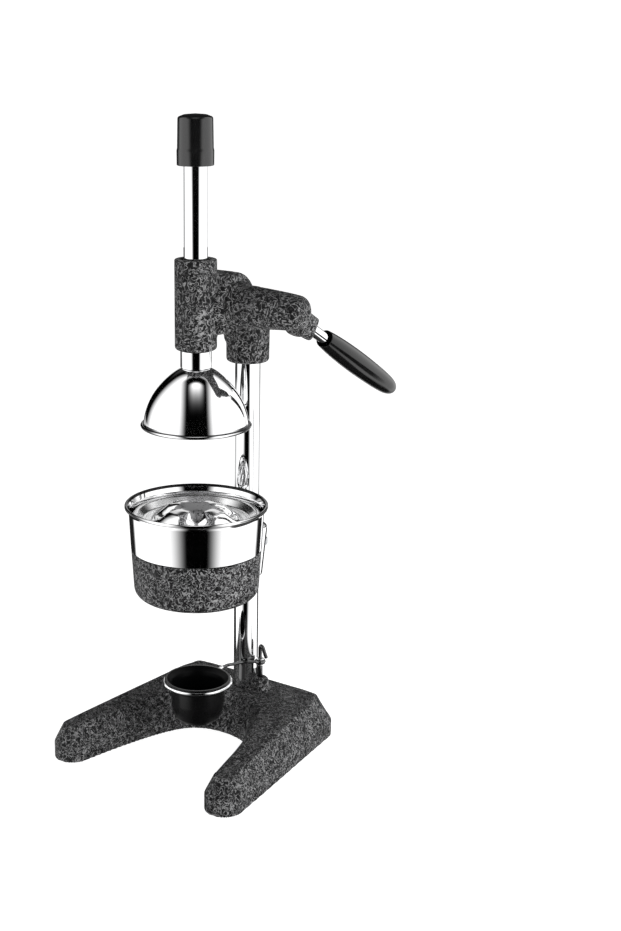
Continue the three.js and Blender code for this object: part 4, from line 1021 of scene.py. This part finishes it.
def hex_head(across, h, seg=96):
    """Hexagon head with a chamfered crown, base at 0, along +Z."""
    R = across / math.sqrt(3)
    a = np.linspace(0, 2 * math.pi, seg, endpoint=False)
    k = (a + math.pi / 6) % (math.pi / 3) - math.pi / 6
    hexr = (across / 2) / np.cos(k)
    verts, faces, rings = [], [], []
    crown = across / 2 * 0.97
    levels = [(0.0, hexr - 0.25), (0.25, hexr)]
    side_top = h - (hexr - crown) * 0.55 - 0.35
    for z, rr in levels:
        verts.append(np.stack([rr * np.cos(a), rr * np.sin(a), np.full(seg, z)], 1))
    verts.append(np.stack([hexr * np.cos(a), hexr * np.sin(a), side_top], 1))
    verts.append(np.stack([crown * np.cos(a), crown * np.sin(a), np.full(seg, h - 0.18)], 1))
    verts.append(np.stack([(crown - 0.6) * np.cos(a), (crown - 0.6) * np.sin(a), np.full(seg, h)], 1))
    n = len(verts)
    for i in range(n - 1):
        for q in range(seg):
            m = (q + 1) % seg
            faces.append([i * seg + q, i * seg + m, (i + 1) * seg + m, (i + 1) * seg + q])
    faces.append(list(range(seg))[::-1])
    faces.append([(n - 1) * seg + q for q in range(seg)])
    return np.concatenate(verts), faces


def along_y(v, at):
    """From +Z to +Y, then to a place."""
    return np.stack([v[:, 0], v[:, 2], -v[:, 1]], 1) + np.array(at, float)


for name, at, depth in (("bowl_clamp_screw", (0, 26.1, 205), 12.2), ("head_clamp_screw_upper", (0, 25.3, 440), 11.4), ("head_clamp_screw_lower", (0, 25.3, 424), 11.4)):
    head = hex_head(13, 5.4)
    shank = revolve(fillet([(0, -depth), (4, -depth, 0.6), (4, 0.2), (0, 0.2)], 3), 40)
    v, f = join(head, shank)
    piece(name + "_skin", along_y(v, at), f, M["zinc"], "frame", [name], flip_check=False, sharp=25)

for i in range(4):
    t = math.radians(45 + 90 * i)
    at = (0, AXIS_Y + 30.4 * math.cos(t), AXIS_Z + 30.4 * math.sin(t))
    v, f = revolve(fillet([(0, -32.3), (2.0, -32.1, 0.6), (2.7, -31.0, 0.6), (2.7, -29.7, 0.2), (1.4, -29.7), (1.4, -15), (0, -15)], 4), 40, axis="x", at=at)
    piece("cover_screw_%d_skin" % (i + 1), v, f, M["zinc"], "frame", ["cover_screw_%d" % (i + 1)])

for where, x, y in (("front_right", 97, -174), ("front_left", -97, -174), ("rear_right", 75, 15), ("rear_left", -75, 15)):
    foot = fillet([(2.2, 5.3), (2.2, 2.4), (4.3, 2.4, 0.3), (4.3, 0, 0.3), (8.4, 0, 0.8), (9.4, 1.1, 0.8), (9.8, 5.3, 0.3)], 4)
    v, f = revolve(foot, 56, at=(x, y, 0))
    piece("rubber_foot_%s_skin" % where, v, f, M["rubber"], "frame", ["rubber_foot_" + where])

v, f = revolve(fillet([(0, -31.4), (7.2, -31.4, 0.6), (8, -30.6, 0.3), (8, 91.6, 0.4), (0, 91.6)], 3), 72, axis="x", at=(0, AXIS_Y, AXIS_Z))
piece("pinion_shaft_skin", v, f, M["steel"], "lever", ["pinion_shaft"])

# ------------------------------------------------------------------ what stays as it is in the frame
finish = {
    "pinion_gear": "steel", "shaft_key": "steel", "column_plug": "steel", "column_bolt": "zinc", "column_washer": "zinc",
    "hub_set_screw": "zinc", "bell_washer": "stainless", "bell_nut": "stainless",
    "foot_screw_front_right": "zinc", "foot_screw_front_left": "zinc", "foot_screw_rear_right": "zinc", "foot_screw_rear_left": "zinc",
}
for name, kind in finish.items():
    ob = frame["nodes"][name]
    ob.data.materials.clear()
    ob.data.materials.append(M[kind])

# ------------------------------------------------------------------ floor, light and camera
CAM = Vector((0.90094, -1.27253, 0.74517))
CAM_AZ = math.radians(36.3)


def stage_material(name):
    m = bpy.data.materials.new(name)
    m.use_nodes = True
    m.node_tree.nodes.clear()
    return m, m.node_tree


def floor():
    bm = bmesh.new()
    bmesh.ops.create_grid(bm, x_segments=2, y_segments=2, size=14.0)
    me = bpy.data.meshes.new("floor")
    bm.to_mesh(me)
    bm.free()
    ob = bpy.data.objects.new("floor", me)
    bpy.context.scene.collection.objects.link(ob)
    m, nt = stage_material("pale_floor")
    out = node(nt, "ShaderNodeOutputMaterial")
    dif = node(nt, "ShaderNodeBsdfDiffuse")
    dif.inputs["Color"].default_value = (0.5, 0.5, 0.5, 1)
    em = node(nt, "ShaderNodeEmission")
    em.inputs["Color"].default_value = (1, 1, 1, 1)
    em.inputs["Strength"].default_value = 0.925
    add = node(nt, "ShaderNodeAddShader")
    nt.links.new(dif.outputs[0], add.inputs[0])
    nt.links.new(em.outputs[0], add.inputs[1])
    nt.links.new(add.outputs[0], out.inputs["Surface"])
    me.materials.append(m)
    return ob


CARD_R, CARD_H = 0.38, 1.30


def reflector():
    """A soft tent of cards that only polished surfaces see: open and dark towards the camera, bright at both
    sides, dim behind, with a soft box overhead in front."""
    seg = 144
    verts, faces = [(0.0, 0.0, 0.0005), (0.0, 0.0, CARD_H)], []
    for k in range(seg):
        a = 2 * math.pi * k / seg
        for z in (0.0005, CARD_H):
            verts.append((CARD_R * math.cos(a), CARD_R * math.sin(a), z))
    for k in range(seg):
        m = (k + 1) % seg
        a, b, c, d = 2 + 2 * k, 2 + 2 * m, 3 + 2 * m, 3 + 2 * k
        faces += [[a, b, c, d], [0, b, a], [1, d, c]]
    me = bpy.data.meshes.new("reflector")
    me.from_pydata(verts, [], faces)
    ob = bpy.data.objects.new("reflector", me)
    bpy.context.scene.collection.objects.link(ob)
    ob.location = (0.0, -0.035, 0.0)
    m, nt = stage_material("reflector_cards")
    out = node(nt, "ShaderNodeOutputMaterial")
    em = node(nt, "ShaderNodeEmission")
    tc = node(nt, "ShaderNodeTexCoord")
    sep = node(nt, "ShaderNodeSeparateXYZ")
    nt.links.new(tc.outputs["Object"], sep.inputs[0])
    x, y, z = sep.outputs
    ang = maths(nt, "ARCTAN2", x, maths(nt, "MULTIPLY", y, -1.0))  # 0 at the front, growing towards +X
    turn = maths(nt, "SUBTRACT", ang, CAM_AZ + math.radians(2))
    turn = maths(nt, "WRAP", turn, math.pi)
    turn.node.inputs[2].default_value = -math.pi
    turn = maths(nt, "MULTIPLY", turn, 180 / math.pi)
    off = maths(nt, "ABSOLUTE", turn)
    right = remap(nt, turn, -1.0, 1.0, 0.0, 1.0)
    low = ring_levels(nt, maths(nt, "ADD", off, maths(nt, "MULTIPLY", right, 5.0)), [(0, 1.0), (119, 1.0), (127, 0.01), (176, 0.01), (180, 0.1)])
    middle = ring_levels(nt, off, [(0, 1.0), (122, 1.0), (130, 0.42), (170, 0.42), (178, 1.0), (180, 1.0)])
    high_l = ring_levels(nt, off, [(0, 1.0), (106, 1.0), (127, 0.0), (172, 0.0), (180, 0.3)])
    high_r = ring_levels(nt, off, [(0, 1.0), (124, 1.0), (140, 0.0), (172, 0.0), (180, 0.3)])
    side = mix(nt, remap(nt, z, 0.15, 0.185, 0.0, 1.0, True), low, middle)
    side = mix(nt, remap(nt, z, 0.305, 0.33, 0.0, 1.0, True), side, mix(nt, right, high_l, high_r))
    # light grey straight behind, for the level surfaces of the strainer
    behind = maths(nt, "MULTIPLY", remap(nt, off, 157, 165, 0.0, 1.0, True), remap(nt, z, 0.315, 0.35, 0.0, 1.0, True))
    side = mix(nt, behind, side, (0.62, 0.62, 0.62))
    belt = maths(nt, "MULTIPLY", remap(nt, z, 0.256, 0.268, 0.0, 1.0, True), remap(nt, z, 0.345, 0.33, 0.0, 1.0, True))
    belt = maths(nt, "MULTIPLY", belt, maths(nt, "MULTIPLY", remap(nt, off, 144, 152, 0.0, 1.0, True), remap(nt, off, 176, 170, 0.0, 1.0, True)))
    side = mix(nt, belt, side, (0.02, 0.02, 0.02))
    # high at the back it is dark
    back = maths(nt, "MULTIPLY", remap(nt, off, 132, 146, 0.0, 1.0, True), remap(nt, z, 0.52, 0.62, 0.0, 1.0, True))
    side = mix(nt, back, side, (0.03, 0.03, 0.03))
    # a dark flag at the right, low, for the underside of the grip
    flag = maths(nt, "MULTIPLY", remap(nt, turn, 56, 64, 0.0, 1.0, True), remap(nt, turn, 112, 107, 0.0, 1.0, True))
    flag = maths(nt, "MULTIPLY", flag, maths(nt, "MULTIPLY", remap(nt, z, 0.158, 0.166, 0.0, 1.0, True), remap(nt, z, 0.304, 0.288, 0.0, 1.0, True)))
    side = mix(nt, flag, side, (0.01, 0.01, 0.01))
    # the dark opening towards the camera: a slab of one width up and over
    u = maths(nt, "ADD", maths(nt, "MULTIPLY", x, math.cos(CAM_AZ)), maths(nt, "MULTIPLY", y, math.sin(CAM_AZ)))
    w = maths(nt, "SUBTRACT", maths(nt, "MULTIPLY", x, math.sin(CAM_AZ)), maths(nt, "MULTIPLY", y, math.cos(CAM_AZ)))
    up = maths(nt, "MAXIMUM", maths(nt, "SUBTRACT", z, 0.39), 0.0)
    far = maths(nt, "SQRT", maths(nt, "ADD", maths(nt, "ADD", maths(nt, "MULTIPLY", x, x), maths(nt, "MULTIPLY", y, y)), maths(nt, "MULTIPLY", up, up)))
    lat = maths(nt, "DIVIDE", maths(nt, "ABSOLUTE", maths(nt, "ADD", u, 0.012)), far)
    slab = mix(nt, remap(nt, z, 0.2, 0.3, 0.0, 1.0), remap(nt, lat, 0.25, 0.77, 1.0, 0.0, True), remap(nt, lat, 0.33, 0.61, 1.0, 0.0, True))
    slab = maths(nt, "MULTIPLY", slab, remap(nt, w, -0.10, 0.02, 0.0, 1.0, True))
    # overhead it runs on to the back, and leaves a soft box open in front
    roof = remap(nt, z, CARD_H - 0.004, CARD_H - 0.002, 0.0, 1.0)
    ahead = remap(nt, w, -0.12, 0.02, 0.03, 1.0, True)
    grey = node(nt, "ShaderNodeCombineColor")
    for i in range(3):
        nt.links.new(ahead, grey.inputs[i])
    tone = mix(nt, roof, side, grey.outputs[0])
    tone = mix(nt, slab, tone, (0.0, 0.0, 0.0))
    wide = remap(nt, lat, 0.07, 0.33, 1.0, 0.0, True)
    fwd = maths(nt, "DIVIDE", w, far)
    fade = maths(nt, "POWER", remap(nt, fwd, 0.98, 0.27, 0.0, 1.0), 3.0)
    tall = maths(nt, "MULTIPLY", remap(nt, fwd, 0.14, 0.22, 0.0, 1.0, True), fade)
    box = maths(nt, "MULTIPLY", wide, tall)
    tone = mix(nt, box, tone, (1.0, 1.0, 1.0))
    # the ground close in is dim
    flat = remap(nt, z, 0.004, 0.002, 0.0, 1.0)
    reach = maths(nt, "SQRT", maths(nt, "ADD", maths(nt, "MULTIPLY", x, x), maths(nt, "MULTIPLY", y, y)))
    near = remap(nt, reach, 0.21, 0.14, 0.0, 0.88, True)
    beside = maths(nt, "MULTIPLY", maths(nt, "MULTIPLY", remap(nt, turn, 60, 68, 0.0, 0.97, True), remap(nt, turn, 168, 160, 0.0, 1.0, True)), remap(nt, reach, 0.14, 0.2, 0.0, 1.0, True))
    dim = maths(nt, "MULTIPLY", flat, maths(nt, "MAXIMUM", near, beside))
    tone = mix(nt, dim, tone, (0.02, 0.02, 0.02))
    nt.links.new(tone, em.inputs["Color"])
    em.inputs["Strength"].default_value = 1.4
    nt.links.new(em.outputs[0], out.inputs["Surface"])
    me.materials.append(m)
    ob.visible_camera = False
    ob.visible_shadow = False
    ob.visible_diffuse = False
    return ob


def fill_card(name, y0, first, last, low, high, level):
    """A small light card near a tube, seen by polished surfaces only."""
    verts, faces = [], []
    n = 12
    for k in range(n + 1):
        a = CAM_AZ + math.radians(first + (last - first) * k / n)
        x, y = 0.052 * math.sin(a), y0 - 0.052 * math.cos(a)
        verts += [(x, y, low), (x, y, high)]
    for k in range(n):
        faces.append([2 * k, 2 * k + 2, 2 * k + 3, 2 * k + 1])
    me = bpy.data.meshes.new(name)
    me.from_pydata(verts, [], faces)
    ob = bpy.data.objects.new(name, me)
    bpy.context.scene.collection.objects.link(ob)
    m, nt = stage_material(name + "_light")
    out = node(nt, "ShaderNodeOutputMaterial")
    em = node(nt, "ShaderNodeEmission")
    em.inputs["Color"].default_value = (1, 1, 1, 1)
    em.inputs["Strength"].default_value = level
    nt.links.new(em.outputs[0], out.inputs["Surface"])
    me.materials.append(m)
    ob.visible_camera = False
    ob.visible_shadow = False
    ob.visible_diffuse = False
    return ob


def ring_levels(nt, degrees, stops):
    r = node(nt, "ShaderNodeValToRGB")
    nt.links.new(maths(nt, "DIVIDE", degrees, 180.0), r.inputs["Fac"])
    el = r.color_ramp.elements
    el[0].position, el[0].color = 0.0, (*([stops[0][1]] * 3), 1)
    el[1].position, el[1].color = 1.0, (*([stops[-1][1]] * 3), 1)
    for p, c in stops[1:-1]:
        e = el.new(p / 180)
        e.color = (c, c, c, 1)
    return r.outputs["Color"]


def soft_light(name, at, aim, width, height, power):
    d = bpy.data.lights.new(name, "AREA")
    d.shape = "RECTANGLE"
    d.size, d.size_y, d.energy = width, height, power
    ob = bpy.data.objects.new(name, d)
    bpy.context.scene.collection.objects.link(ob)
    ob.location = at
    ob.rotation_euler = (Vector(aim) - Vector(at)).to_track_quat("-Z", "Y").to_euler()
    ob.visible_camera = False
    ob.visible_glossy = False
    return ob


def world():
    w = bpy.data.worlds.new("soft_world")
    bpy.context.scene.world = w
    w.use_nodes = True
    nt = w.node_tree
    nt.nodes.clear()
    out = node(nt, "ShaderNodeOutputWorld")
    bg = node(nt, "ShaderNodeBackground")
    tc = node(nt, "ShaderNodeTexCoord")
    sep = node(nt, "ShaderNodeSeparateXYZ")
    nt.links.new(tc.outputs["Generated"], sep.inputs[0])
    level = remap(nt, sep.outputs["Z"], 0.1, 0.5, 1.05, 0.19, True)
    nt.links.new(level, bg.inputs["Strength"])
    bg.inputs["Color"].default_value = (1, 1, 1, 1)
    nt.links.new(bg.outputs[0], out.inputs["Surface"])


floor()
reflector()
fill_card("fill_column", 0.02, 52, 114, 0.046, 0.425, 1.4)
fill_card("fill_ram", -0.07, 122, 236, 0.532, 0.612, 0.8)
soft_light("light_right", (1.7, 0.1, 0.55), (0.0, -0.03, 0.25), 1.3, 1.1, 40.0)
soft_light("light_left", (-1.2, -1.6, 0.8), (0.0, -0.03, 0.25), 1.2, 1.1, 14.0)
world()

cam_data = bpy.data.cameras.new("camera")
cam = bpy.data.objects.new("camera", cam_data)
bpy.context.scene.collection.objects.link(cam)
cam_data.sensor_width = 36.0
cam_data.lens = 1541.9 * 36.0 / 931.0
cam_data.shift_x = 0.1077
cam_data.shift_y = 0.0
cam_data.clip_start, cam_data.clip_end = 0.05, 60.0
cam.location = CAM
cam.rotation_euler = (math.radians(90 - 15.9), 0.0, math.radians(36.3))
bpy.context.scene.camera = cam
bpy.context.scene.view_settings.view_transform = "Standard"
bpy.context.scene.view_settings.look = "None"
